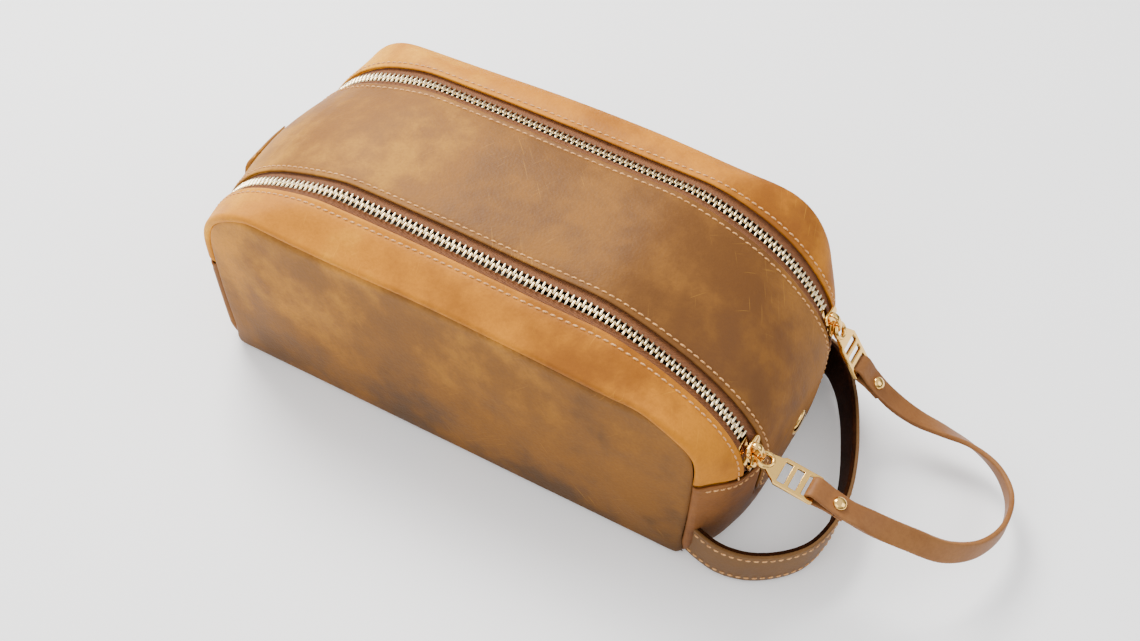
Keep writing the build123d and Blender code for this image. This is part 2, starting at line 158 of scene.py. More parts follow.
def make_object(name: str, points: np.ndarray, quads: np.ndarray, uv: np.ndarray | None = None,
                slots: np.ndarray | None = None, smooth: bool = True) -> bpy.types.Object:
    """Put points and quads into a new mesh object, with its faces turned outwards.

    Args:
        name: name of the piece.
        points: vertices in millimetres.
        quads: four vertex numbers a face.
        uv: two numbers a vertex, or None.
        slots: material index of each face, or None.
        smooth: whether faces are shaded smooth.

    Returns:
        The linked object, at the origin.
    """
    mesh = bpy.data.meshes.new(name)
    mesh.vertices.add(len(points))
    mesh.vertices.foreach_set("co", (np.asarray(points, float) * MM).ravel())
    mesh.loops.add(quads.size)
    mesh.loops.foreach_set("vertex_index", quads.ravel().astype(np.int32))
    mesh.polygons.add(len(quads))
    mesh.polygons.foreach_set("loop_start", np.arange(0, quads.size, 4, dtype=np.int32))
    mesh.update(calc_edges=True)
    if uv is not None:
        layer = mesh.uv_layers.new(name="UVMap")
        layer.data.foreach_set("uv", np.asarray(uv, float)[quads.ravel()].ravel())
    if slots is not None:
        mesh.polygons.foreach_set("material_index", slots.astype(np.int32))
    mesh.polygons.foreach_set("use_smooth", np.full(len(quads), smooth))
    work = bmesh.new()
    work.from_mesh(mesh)
    bmesh.ops.recalc_face_normals(work, faces=work.faces)
    work.to_mesh(mesh)
    work.free()
    mesh.update()
    piece = bpy.data.objects.new(name, mesh)
    bpy.context.scene.collection.objects.link(piece)
    return piece


def thick_sheet(name: str, outer: np.ndarray, thickness: float, uv: np.ndarray) -> bpy.types.Object:
    """Closed sheet from its outer face: the inner face lies one thickness behind it.

    Faces get material 0 outside, 1 on the rim and 2 inside.

    Args:
        name: name of the piece.
        outer: grid of points of the outer face.
        thickness: thickness of the sheet.
        uv: grid of map coordinates, in millimetres along and across the sheet.

    Returns:
        The sheet.
    """
    rows, columns = outer.shape[:2]
    normals = grid_normals(outer)
    outward = (normals * (outer - BAG_MIDDLE)).sum()
    inner = outer - normals * thickness * (1.0 if outward > 0 else -1.0)
    points = np.concatenate([outer.reshape(-1, 3), inner.reshape(-1, 3)])
    count = rows * columns
    face = grid_quads(rows, columns)
    number = np.arange(count).reshape(rows, columns)
    loop = np.concatenate([number[0, :-1], number[:-1, -1], number[-1, :0:-1], number[:0:-1, 0]])
    after = np.roll(loop, -1)
    rim = np.stack([loop, after, after + count, loop + count], axis=-1)
    quads = np.concatenate([face, face[:, ::-1] + count, rim[:, ::-1]])
    slots = np.repeat([0, 2, 1], [len(face), len(face), len(rim)])
    maps = np.tile(uv.reshape(-1, 2), (2, 1))
    return make_object(name, points, quads, maps, slots)


def tube(name: str, line: np.ndarray, across: np.ndarray, out: np.ndarray, profile: np.ndarray,
         slots: np.ndarray | None = None) -> bpy.types.Object:
    """Carry a closed profile along a line and close both ends.

    A point is the line's point plus profile x times across plus profile y times out.

    Args:
        name: name of the piece.
        line: points of the line.
        across: unit vector of the profile's x at each point.
        out: unit vector of the profile's y at each point.
        profile: the profile's points, the same everywhere or one set for each point of the line.
        slots: material index of each side of the profile, or None.

    Returns:
        The swept piece, with map coordinates in millimetres along and round it.
    """
    shape = np.broadcast_to(profile, (len(line),) + profile.shape[-2:])
    steps, sides = shape.shape[:2]
    grid = line[:, None] + across[:, None] * shape[..., :1] + out[:, None] * shape[..., 1:]
    reach = reach_along(line)
    around = reach_along(shape[0])
    uv = map_grid(reach[:, None], around[None, :]).reshape(-1, 2)
    wall = grid_quads(steps, sides, wrap=True)
    caps = [strip_cap(sides, 0), strip_cap(sides, (steps - 1) * sides)]
    face_slots = np.zeros(len(wall) + 2 * len(caps[0]), int)
    if slots is not None:
        face_slots[:len(wall)] = np.tile(slots, steps - 1)
        face_slots[len(wall):] = 1
    return make_object(name, grid.reshape(-1, 3), np.concatenate([wall] + caps), uv, face_slots)


def lathe(name: str, profile: np.ndarray, centre: np.ndarray, axis: np.ndarray,
          sides: int = 40) -> bpy.types.Object:
    """Turn a profile of (radius, height) about an axis through a centre, and close its ends.

    Args:
        name: name of the piece.
        profile: points of the profile.
        centre: centre of the turn.
        axis: direction of the turn.
        sides: number of sides.

    Returns:
        The turned piece.
    """
    axis = unit(np.asarray(axis, float))
    side = unit(np.cross(axis, [0.31, 0.87, 0.11]))
    other = np.cross(axis, side)
    angle = np.linspace(0.0, 2.0 * math.pi, sides, endpoint=False)
    ring = side * np.cos(angle)[:, None] + other * np.sin(angle)[:, None]
    grid = centre + profile[:, :1, None] * ring + profile[:, 1:, None] * axis
    caps = [strip_cap(sides, 0), strip_cap(sides, (len(profile) - 1) * sides)]
    quads = np.concatenate([grid_quads(len(profile), sides, wrap=True)] + caps)
    return make_object(name, grid.reshape(-1, 3), quads)


def rounded_box_profile(width: float, height: float, radius: float, steps: int = 4) -> np.ndarray:
    """Outline of a rounded rectangle, counter-clockwise.

    Args:
        width: width in millimetres.
        height: height in millimetres.
        radius: radius of the rounding.
        steps: points in each corner.

    Returns:
        Points of the outline.
    """
    turn = np.linspace(0.0, math.pi / 2.0, steps)
    corners = []
    for quarter, (sx, sy) in enumerate(((1, 1), (-1, 1), (-1, -1), (1, -1))):
        centre = np.array([sx * (width / 2 - radius), sy * (height / 2 - radius)])
        angle = turn + quarter * math.pi / 2.0
        corners.append(centre + radius * np.stack([np.cos(angle), np.sin(angle)], axis=-1))
    return np.concatenate(corners)


def curve_through(points: np.ndarray, count: int) -> np.ndarray:
    """Smooth line through points: a cubic between each two, with slopes from their neighbours.

    Args:
        points: points, or points with further columns, that the line passes through.
        count: number of evenly spaced points wanted.

    Returns:
        The evenly spaced line, by distance over the first three columns.
    """
    points = np.asarray(points, float)
    steps = np.linalg.norm(np.diff(points[:, :3], axis=0), axis=1)
    knots = np.concatenate([[0.0], np.cumsum(steps)])
    slopes = np.gradient(points, knots, axis=0)

    def value(at: np.ndarray) -> np.ndarray:
        """Point of the line at each knot distance.

        Args:
            at: places wanted.

        Returns:
            Points of the line.
        """
        index = np.clip(np.searchsorted(knots, at, side="right") - 1, 0, len(steps) - 1)
        width = steps[index][:, None]
        share = (at - knots[index])[:, None] / width
        return cubic(points[index], points[index + 1], slopes[index] * width, slopes[index + 1] * width,
                     share)

    fine = value(np.linspace(0.0, knots[-1], 40 * len(points)))
    reach = reach_along(fine[:, :3])
    wanted = np.linspace(0.0, reach[-1], count)
    return sampled(fine, reach, wanted)


def copies(name: str, shape: np.ndarray, quads: np.ndarray, places: np.ndarray,
           axes: np.ndarray) -> bpy.types.Object:
    """One mesh of many copies of a small shape.

    Args:
        name: name of the piece.
        shape: the small shape's points.
        quads: its faces.
        places: position of each copy.
        axes: three unit vectors for each copy, one a row.

    Returns:
        The joined copies.
    """
    points = places[:, None] + np.einsum("vk,nkx->nvx", shape, axes)
    shift = (np.arange(len(places)) * len(shape))[:, None, None]
    return make_object(name, points.reshape(-1, 3), (quads[None] + shift).reshape(-1, 4))


def capsule(length: float, width: float, height: float, dip: float) -> tuple[np.ndarray, np.ndarray]:
    """Small rounded stitch along X that dips at both ends.

    Args:
        length: length in millimetres.
        width: width in millimetres.
        height: height in millimetres.
        dip: how far the ends dip.

    Returns:
        Points and faces of the stitch.
    """
    rings, sides = 6, 6
    share = np.linspace(-1.0, 1.0, rings)
    fat = np.sqrt(np.clip(1.0 - share ** 4, 0.04, 1.0))
    angle = np.linspace(0.0, 2.0 * math.pi, sides, endpoint=False)
    x = np.broadcast_to((share * length / 2)[:, None], (rings, sides))
    y = fat[:, None] * np.cos(angle) * width / 2
    z = fat[:, None] * np.sin(angle) * height / 2 - dip * (share ** 2)[:, None]
    quads = np.concatenate([grid_quads(rings, sides, wrap=True)[:, ::-1], strip_cap(sides, 0),
                            strip_cap(sides, (rings - 1) * sides)])
    return np.stack([x, y, z], axis=-1).reshape(-1, 3), quads


# ---------------------------------------------------------------- the bag's skin
@dataclass
class BagForm:
    """Outer skin of the bag: cross-sections at four distances from the middle, blended smoothly."""

    y: tuple = (0.0, 41.0, 56.0, 67.5)
    foot: tuple = (141.0, 138.0, 133.0, 125.0)
    wide: tuple = (147.5, 143.5, 137.5, 128.0)
    wide_z: tuple = (50.0, 52.0, 58.0, 69.0)
    top: tuple = (112.0, 109.2, 105.8, 100.0)
    flat: tuple = (63.0, 63.0, 78.0, 97.0)
    pull_x: tuple = (26.0, 24.7, 20.7, 17.1)
    pull_z: tuple = (34.7, 28.8, 25.3, 17.1)
    corner: float = 6.0
    sag_x: tuple = (-150.0, -118.0, -90.0, -45.0, 0.0, 45.0, 95.0, 122.0, 140.0, 150.0)
    sag_y: tuple = (-67.5, -41.0, 0.0, 41.0, 67.5)
    sag: tuple = (
        (0.0, 3.0, -0.5, -1.5, -1.0, -3.5, -7.5, -3.0, 0.0, 0.0),
        (0.0, 8.5, 3.2, 3.6, 2.5, 0.0, -0.8, 1.0, 0.0, 0.0),
        (0.0, 8.0, 3.2, 3.2, 2.4, 1.0, 1.0, 2.0, 0.0, 0.0),
        (0.0, 9.0, 4.0, 4.2, 3.0, 1.2, 2.5, 4.0, 0.0, 0.0),
        (0.0, 5.0, 6.5, 8.0, 9.0, 8.0, 5.0, 6.0, 1.0, 0.0))
    settle_low: float = 42.0
    settle_reach: float = 48.0
    bend_free: float = 18.0
    columns: int = 1440
    rows: int = 109
    table: np.ndarray = field(init=False)
    normal: np.ndarray = field(init=False)

    def __post_init__(self) -> None:
        """Work out the table of points and normals."""
        self.levels = np.linspace(-self.y[-1], self.y[-1], self.rows)
        raw = self.closed_lines(self.levels)
        self.table = np.stack([self.even(line) for line in raw])
        self.soften()
        along = np.roll(self.table, -1, axis=1) - np.roll(self.table, 1, axis=1)
        across = np.gradient(self.table, axis=0)
        self.normal = unit(np.cross(along, across))

    def station(self, values: tuple, y: np.ndarray) -> np.ndarray:
        """A station's value at y: cubic between stations, level at the middle of the bag.

        Args:
            values: values at the four distances.
            y: distances across the bag from its middle.

        Returns:
            The value at each distance.
        """
        knots, held = np.array(self.y), np.array(values, float)
        slope = np.gradient(held, knots)
        slope[0] = 0.0
        at = np.clip(np.abs(y), 0.0, knots[-1])
        index = np.clip(np.searchsorted(knots, at, side="right") - 1, 0, len(knots) - 2)
        width = knots[index + 1] - knots[index]
        share = (at - knots[index]) / width
        return cubic(held[index], held[index + 1], slope[index] * width, slope[index + 1] * width, share)

    def closed_lines(self, y: np.ndarray) -> np.ndarray:
        """Closed cross-sections from the middle of the base, round by the left end and the top.

        Args:
            y: distances across the bag from its middle.

        Returns:
            One closed line of points for each distance.
        """
        value = {key: self.station(getattr(self, key), y)[:, None]
                 for key in ("foot", "wide", "wide_z", "top", "flat", "pull_x", "pull_z")}
        w = np.linspace(0.0, 1.0, 120)[None]
        base = (value["foot"] * w, 0.0 * w + 0.0 * value["foot"])
        low = (value["foot"] + (value["wide"] - value["foot"]) * (1 - (1 - w) ** 2), value["wide_z"] * w)
        b = [(1 - w) ** 3, 3 * w * (1 - w) ** 2, 3 * w * w * (1 - w), w ** 3]
        shoulder = (
            (b[0] + b[1]) * value["wide"] + b[2] * (value["flat"] + value["pull_x"]) + b[3] * value["flat"],
            b[0] * value["wide_z"] + b[1] * (value["wide_z"] + value["pull_z"])
            + (b[2] + b[3]) * value["top"])
        crown = (value["flat"] * (1 - w), value["top"] + 0.0 * w)
        half_x = np.concatenate([part[0] for part in (base, low, shoulder, crown)], axis=1)
        half_z = np.concatenate([part[1] for part in (base, low, shoulder, crown)], axis=1)
        x = np.concatenate([-half_x, half_x[:, ::-1]], axis=1)
        z = np.concatenate([half_z, half_z[:, ::-1]], axis=1)
        return np.stack([x, np.broadcast_to(y[:, None], x.shape), z], axis=-1)

    def even(self, line: np.ndarray) -> np.ndarray:
        """The same closed line with evenly spaced points.

        Args:
            line: closed line of points.

        Returns:
            The line with even steps.
        """
        closed = np.concatenate([line, line[:1]])
        reach = reach_along(closed)
        wanted = np.linspace(0.0, reach[-1], self.columns, endpoint=False)
        return sampled(closed, reach, wanted)

    def soften(self) -> None:
        """Round the corners at the base with a running mean, and add gentle hand-made unevenness."""
        spacing = np.linalg.norm(self.table[:, 1] - self.table[:, 0], axis=-1).mean()
        reach = int(self.corner / spacing)
        total = sum(np.roll(self.table, shift, axis=1) for shift in range(-reach, reach + 1))
        self.table = total / (2 * reach + 1)
        self.table[..., 2] += self.settled(self.table)
        lift = self.unevenness(self.table)
        outward = unit((self.table - BAG_MIDDLE) * np.array([1.0, 0.15, 1.0]))
        free = ease(self.table[..., 2] / self.bend_free)
        self.table = self.table + outward * (lift * free)[..., None]
        self.table[..., 2] = np.maximum(self.table[..., 2], 0.0)

    def without_sag(self) -> "BagForm":
        """The same skin before its top settled."""
        return replace(self, sag=tuple((0.0,) * len(self.sag_x) for _ in self.sag_y))

    def settled(self, points: np.ndarray) -> np.ndarray:
        """How far the soft top has risen or sagged at each point, blended between the sag values.

        Args:
            points: points in space.

        Returns:
            Height to add at each point.
        """
        across = np.stack([self.smooth_line(points[..., 0], self.sag_x, row) for row in self.sag])
        place = np.interp(points[..., 1], self.sag_y, np.arange(len(self.sag_y)))
        low = np.clip(place.astype(int), 0, len(self.sag_y) - 2)
        share = ease(place - low)
        near = np.take_along_axis(across, low[None], axis=0)[0]
        far = np.take_along_axis(across, low[None] + 1, axis=0)[0]
        fade = ease((points[..., 2] - self.settle_low) / self.settle_reach)
        return (near * (1 - share) + far * share) * fade

    @staticmethod
    def smooth_line(at: np.ndarray, knots: tuple, values: tuple) -> np.ndarray:
        """Value at each place, eased between neighbouring knots and averaged over a short reach.

        Args:
            at: places wanted.
            knots: places of the values.
            values: values at the four distances.

        Returns:
            Averaged values.
        """
        total = 0.0
        for shift in (-16.0, -8.0, 0.0, 8.0, 16.0):
            total = total + np.interp(at + shift, knots, values)
        return total / 5.0

    @staticmethod
    def unevenness(points: np.ndarray) -> np.ndarray:
        """Sum of a few slow sine waves in space, under a millimetre high.

        Args:
            points: points in space.

        Returns:
            Height at each point, in millimetres.
        """
        rng = np.random.default_rng(SEED)
        total = np.zeros(points.shape[:-1])
        for size in (0.45, 0.38, 0.3, 0.22, 0.16, 0.12):
            wave = rng.normal(0.0, 0.016 / size ** 0.5, 3) * np.array([1.0, 1.3, 1.0])
            total += size * np.sin(points @ wave + rng.uniform(0.0, 6.28))
        return total

    def lookup(self, table: np.ndarray, y: np.ndarray, share: np.ndarray) -> np.ndarray:
        """Value of a table at y and at a share of the way round, blended between its points.

        Args:
            table: table of values over the skin.
            y: distances across the bag from its middle.
            share: shares of the way round the section.

        Returns:
            Blended values.
        """
        row = np.clip((y - self.levels[0]) / (self.levels[1] - self.levels[0]), 0.0, self.rows - 1.001)
        column = (share % 1.0) * self.columns
        r0, c0 = row.astype(int), column.astype(int) % self.columns
        fr, fc = (row - r0)[..., None], (column - np.floor(column))[..., None]
        c1 = (c0 + 1) % self.columns
        near = table[r0, c0] * (1 - fc) + table[r0, c1] * fc
        far = table[r0 + 1, c0] * (1 - fc) + table[r0 + 1, c1] * fc
        return near * (1 - fr) + far * fr

    def at(self, y: np.ndarray, share: np.ndarray, inset: np.ndarray | float = 0.0) -> np.ndarray:
        """Point of the skin, drawn in along its normal by inset.

        Args:
            y: distances across the bag from its middle.
            share: shares of the way round the section.
            inset: depth below the skin.

        Returns:
            Points.
        """
        y, share = np.broadcast_arrays(np.asarray(y, float), np.asarray(share, float))
        normal = unit(self.lookup(self.normal, y, share))
        depth = np.broadcast_to(np.asarray(inset, float), y.shape)[..., None]
        return self.lookup(self.table, y, share) - normal * depth

    def over_top(self, y: np.ndarray, left_z: np.ndarray | float, right_z: np.ndarray | float,
                 along: np.ndarray) -> np.ndarray:
        """Grid of shares from a height on the left wall, over the top, to one on the right wall.

        Args:
            y: distances across the bag from its middle.
            left_z: height on the left wall.
            right_z: height on the right wall.
            along: shares along the sheet, or directions along the line.

        Returns:
            Shares, a row for each distance.
        """
        start = self.share_at_height(y, left_z, False)
        end = self.share_at_height(y, right_z, True)
        return start[:, None] + (end - start)[:, None] * along[None]

    def share_at_height(self, y: np.ndarray, z: np.ndarray | float, right: bool) -> np.ndarray:
        """Share of the way round at which the left or the right wall reaches height z.

        Args:
            y: distances across the bag from its middle.
            z: heights.
            right: whether the right wall is meant, not the left.

        Returns:
            Shares of the way round.
        """
        y, z = np.broadcast_arrays(np.asarray(y, float), np.asarray(z, float))
        fine = np.linspace(0.12, 0.36, 500)
        out = np.empty(y.shape)
        for index in np.ndindex(y.shape):
            line = self.lookup(self.table, np.full(500, y[index]), 1.0 - fine if right else fine)
            out[index] = np.interp(z[index], line[:, 2], fine)
        return 1.0 - out if right else out


@dataclass
class Shell:
    """Leather sheets of the bag: panels, gussets, lid, lower band and grip tab."""

    form: BagForm
    leather: float = 1.9
    lid_half: float = 34.4
    gusset_inner: float = 47.4
    seam_roll: float = 2.3
    crease: float = 2.4
    draw_in: float = 2.6
    roll_turn: float = 2.35
    stitch_in: float = 3.0
    tail_end: float = 18.0
    tail_corner: float = 12.0
    band_top: float = 49.0
    band_rise: float = 7.0
    lid_tuck: float = 5.0
    gusset_tuck: float = 6.0
    tuck: float = 2.3
    seat: float = 2.7
    raw_edge: float = 0.7
    panel_thick: float = 1.6
    panel_edge: float = 3.0
    panel_swell: float = 2.2
    tab_half: float = 11.0
    tab_low: float = 38.0
    tab_high: float = 76.0
    tab_thick: float = 1.8
    tab_bow: float = 3.2
    tab_stand: float = 2.1

    def band_edge(self, y: np.ndarray) -> np.ndarray:
        """Height of the lower band's top edge: level in the middle, rising towards the seams."""
        return self.band_top + self.band_rise * ease((np.abs(y) - 44.0) / 22.0)

    def tail_edge(self, y: np.ndarray) -> np.ndarray:
        """Height of the tail's lower edge, with round corners."""
        over = np.clip(np.abs(y) - (self.lid_half - self.tail_corner), 0.0, self.tail_corner - 0.02)
        return self.tail_end + self.tail_corner - np.sqrt(self.tail_corner ** 2 - over ** 2)

    def groove(self, distance: np.ndarray) -> np.ndarray:
        """Depth of the pressed line under a row of stitches."""
        return 0.32 * np.exp(-((distance - self.stitch_in) / 0.9) ** 2)

    def under_band(self, z: np.ndarray, edge: np.ndarray) -> np.ndarray:
        """How far a sheet dips where it passes under the lower band."""
        return self.tuck * ease((edge + 3.5 - z) / 4.0)

    def lid(self) -> bpy.types.Object:
        """Centre panel: sewn at the left end, a lid over the top, and a round tail at the right end.

        Returns:
            The piece.
        """
        y = np.concatenate([-self.lid_half + self.edge_steps(), np.linspace(-28.0, 28.0, 25),
                            self.lid_half - self.edge_steps()[::-1]])
        along = self.along_steps(300)
        share = self.form.over_top(y, self.band_top - self.lid_tuck, self.tail_edge(y), along)
        near = np.minimum(self.lid_half - np.abs(y), 40.0)[:, None]
        plain = self.form.at(y[:, None], share)
        length = reach_along(plain[len(y) // 2])[-1]
        to_end = (1.0 - along)[None] * length
        drop = edge_drop(near, self.raw_edge) + edge_drop(to_end, self.raw_edge) + self.groove(near)
        drop = drop + self.under_band(plain[..., 2], self.band_edge(y)[:, None]) * (plain[..., 0] < 0)
        drop = drop - 0.35 * ease((near - 4.0) / 12.0)
        outer = self.form.at(y[:, None], share, drop)
        uv = map_grid(along[None] * length, (y + self.lid_half)[:, None])
        return thick_sheet("centre_panel", outer, self.leather, uv)

    @staticmethod
    def edge_steps() -> np.ndarray:
        """Distances in from a raw edge at which a sheet has rows."""
        return np.array([0.0, 0.12, 0.35, 0.7, 1.4, 2.1, 2.6, 3.0, 3.4, 3.9, 4.8])

    @staticmethod
    def along_steps(count: int) -> np.ndarray:
        """Shares along a sheet, with a few close steps at both ends."""
        close = np.array([0.0, 0.0005, 0.0012, 0.0024])
        return np.concatenate([close, np.linspace(0.005, 0.995, count), 1.0 - close[::-1]])

    def rolled(self, side: int, rows: np.ndarray, turn_steps: int = 12) -> tuple[np.ndarray, np.ndarray]:
        """Rows of a sheet that ends by rolling down into a seam.

        Returns:
            y of each row, and how far the row drops below the skin: the last rows follow a circle.
        """
        angle = np.linspace(0.0, self.roll_turn, turn_steps)[1:]
        y = side * np.concatenate([rows, rows[-1] + self.seam_roll * np.sin(angle)])
        drop = np.concatenate([np.zeros(len(rows)), self.seam_roll * (1.0 - np.cos(angle))])
        return y, drop

    def gusset(self, side: int, name: str) -> bpy.types.Object:
        """Strip between a zip and the front or back panel.

        Args:
            side: -1 for the front of the bag, 1 for the back.
            name: name of the piece.

        Returns:
            The piece.
        """
        last = self.form.y[-1] - self.seam_roll
        rows = np.concatenate([self.gusset_inner + self.edge_steps(), np.linspace(54.0, last, 12)])
        y, roll = self.rolled(side, rows)
        edge = self.band_edge(y) - self.gusset_tuck
        along = self.along_steps(300)
        share = self.form.over_top(y, edge, edge, along)
        near = (np.abs(y) - self.gusset_inner)[:, None]
        plain = self.form.at(y[:, None], share)
        length = reach_along(plain[7])[-1]
        drop = edge_drop(near, self.raw_edge) + self.groove(near) + roll[:, None]
        drop = drop + self.under_band(plain[..., 2], self.band_edge(y)[:, None])
        outer = self.form.at(y[:, None], share, drop)
        uv = map_grid(along[None] * length, near)
        return thick_sheet(name, outer, self.leather, uv)

    def panel(self, side: int, name: str) -> bpy.types.Object:
        """Front or back panel: a flat sheet with a slight swell, its rim rolled into the seam.

        Args:
            side: -1 for the front of the bag, 1 for the back.
            name: name of the piece.

        Returns:
            The piece.
        """
        full = self.form.without_sag()
        share = np.linspace(0.0, 1.0, 1440, endpoint=False)
        rim = full.at(np.full(1440, full.y[-1]), share)
        lip = self.crease * (0.12 + 0.88 * ease(rim[:, 2:] / 16.0))
        step = np.roll(rim, -1, axis=0) - np.roll(rim, 1, axis=0)
        flat_normal = unit(np.stack([-step[:, 2], 0 * step[:, 0], step[:, 0]], axis=-1))
        rim = rim - flat_normal * lip
        left = rim[:721]
        order = np.argsort(left[:, 2])
        low, high = rim[:, 2].min(), rim[:, 2].max()
        ends = np.array([0.0, 0.05, 0.2, 0.5, 1.0, 1.8, 2.8])
        z = np.concatenate([low + ends, np.linspace(low + 4.5, high - 4.5, 90), high - ends[::-1]])
        half = np.interp(z, left[order, 2], -left[order, 0])
        half[0], half[-1] = half[1] - 1.2, half[-2] - 2.0
        fine = ends / 125.0
        s = np.concatenate([-1.0 + fine, np.linspace(-0.96, 0.96, 190), 1.0 - fine[::-1]])
        x = half[:, None] * s[None]
        flat = np.stack([x, 0 * x, z[:, None] + 0 * x], axis=-1)
        outline = rim[:, [0, 2]]
        near = np.stack([self.distance(row[:, [0, 2]], outline) for row in flat])
        drop = edge_drop(near, self.panel_edge) + 0.8 * ease((0.12 - near) / 0.12)
        ripple = 0.6 * self.form.unevenness(flat * np.array([1.6, 1.0, 1.6]))
        swell = self.panel_swell * ease(near / 40.0) + ripple
        flat[..., 1] = side * self.form.y[-1]
        flat[..., 2] += self.form.settled(flat)
        flat[..., 1] = side * (self.form.y[-1] - 0.2 - drop + swell * ease(near / 8.0))
        uv = map_grid(x, z[:, None] + 0 * x)
        return thick_sheet(name, flat, self.panel_thick, uv)

    @staticmethod
    def distance(points: np.ndarray, outline: np.ndarray) -> np.ndarray:
        """Distance of each point to the nearest point of an outline."""
        gap = points[:, None] - outline[None]
        return np.sqrt((gap * gap).sum(axis=-1).min(axis=1))

    def band(self) -> bpy.types.Object:
        """Base and lower end walls in one sheet, lapped over the gussets and the zips' ends.

        Returns:
            The piece.
        """
        last = self.form.y[-1] - self.seam_roll
        angle = np.linspace(0.0, self.roll_turn, 12)[1:]
        side = np.concatenate([np.linspace(0.0, 33.0, 12), np.linspace(34.0, 38.0, 7),
                               np.linspace(40.0, last, 12)])
        half = np.concatenate([side, last + self.seam_roll * np.sin(angle)])
        roll = np.concatenate([np.zeros(len(side)), self.seam_roll * (1.0 - np.cos(angle))])
        y = np.concatenate([-half[:0:-1], half])
        roll = np.concatenate([roll[:0:-1], roll])
        top = self.band_edge(y)
        start = self.form.share_at_height(y, top, True) - 1.0
        end = self.form.share_at_height(y, top, False)
        along = self.along_steps(320)
        share = start[:, None] + (end - start)[:, None] * along[None]
        plain = self.form.at(y[:, None], share)
        length = reach_along(plain[len(y) // 2])[-1]
        rim = np.minimum(along, 1.0 - along)[None] * length
        under_tail = ease((self.lid_half + 2.4 - np.abs(y)) / 2.2)[:, None] * (plain[..., 0] > 0)
        tail = self.tail_edge(np.clip(y, -34.0, 34.0))[:, None]
        under_tail = under_tail * ease((plain[..., 2] - tail + 4.5) / 4.0)
        drop = edge_drop(rim, 0.8) + roll[:, None] + self.groove(rim) + self.seat * under_tail
        outer = self.form.at(y[:, None], share, drop)
        outer[..., 2] = np.maximum(outer[..., 2], 0.0)
        outer[..., 1] *= 1.0 - self.draw_in / self.form.y[-1] * (1.0 - ease(outer[..., 2] / 14.0))
        uv = map_grid(along[None] * length, (y + self.form.y[-1])[:, None])
        return thick_sheet("lower_band", outer, self.leather, uv)

    def grip_tab(self) -> bpy.types.Object:
        """Short strip sewn at its top and bottom on the left end, bowed a little between.

        Returns:
            The piece.
        """
        close = self.edge_steps()[:8]
        y = np.concatenate([-self.tab_half + close, np.linspace(-7.0, 7.0, 9), self.tab_half - close[::-1]])
        low = self.form.share_at_height(y, self.tab_low, False)
        high = self.form.share_at_height(y, self.tab_high, False)
        along = self.along_steps(60)
        share = low[:, None] + (high - low)[:, None] * along[None]
        bow = np.clip(np.sin(math.pi * np.clip((along - 0.12) / 0.76, 0.0, 1.0)), 0.0, 1.0) ** 0.8
        near = (self.tab_half - np.abs(y))[:, None]
        drop = -self.tab_stand - self.tab_bow * bow[None] + edge_drop(near, 0.6)
        outer = self.form.at(y[:, None], share, drop)
        uv = map_grid(along[None] * (self.tab_high - self.tab_low + 2.0), (y + self.tab_half)[:, None])
        return thick_sheet("grip_tab_leather", outer, self.tab_thick, uv)


@dataclass
class Lining:
    """Cloth inside the bag and under the lid."""

    form: BagForm
    depth: float = 6.0
    lid_depth: float = 2.15
    lid_half: float = 32.5
    end_y: float = 61.0
    mouth_half: float = 49.0
    mouth_z: float = 88.0
    mouth_x: float = 34.0
    floor_z: float = 4.6
    cloth: float = 0.6
    lid_cloth: float = 0.5
    round_trip: float = 700.0

    def tub(self) -> bpy.types.Object:
        """Loose lining: a tube of cloth round the inside; under the lid its top is pressed into a near-flat
        sheet at mouth_z, which closes the mouth.

        Returns:
            The piece.
        """
        y = np.linspace(-self.end_y, self.end_y, 41)
        share = np.linspace(0.004, 0.996, 260)
        grid = self.form.at(y[:, None], share[None], self.depth)
        top = grid[..., 2] > self.mouth_z
        keep = ~(top & (np.abs(y)[:, None] < self.mouth_half) & (grid[..., 0] > self.mouth_x))
        floor = np.maximum(grid[..., 2], self.floor_z)
        grid[..., 2] = np.where(keep, floor, self.mouth_z + 0.02 * (grid[..., 2] - self.mouth_z))
        uv = map_grid(share[None] * self.round_trip, y[:, None])
        return thick_sheet("lining_cloth", grid, self.cloth, uv)

    def under_lid(self) -> bpy.types.Object:
        """Cloth glued under the centre panel.

        Returns:
            The piece.
        """
        y = np.linspace(-self.lid_half, self.lid_half, 15)
        share = np.linspace(0.30, 0.755, 160)
        grid = self.form.at(y[:, None], share[None], self.lid_depth)
        uv = map_grid(share[None] * self.round_trip, y[:, None])
        return thick_sheet("lid_cloth", grid, self.lid_cloth, uv)


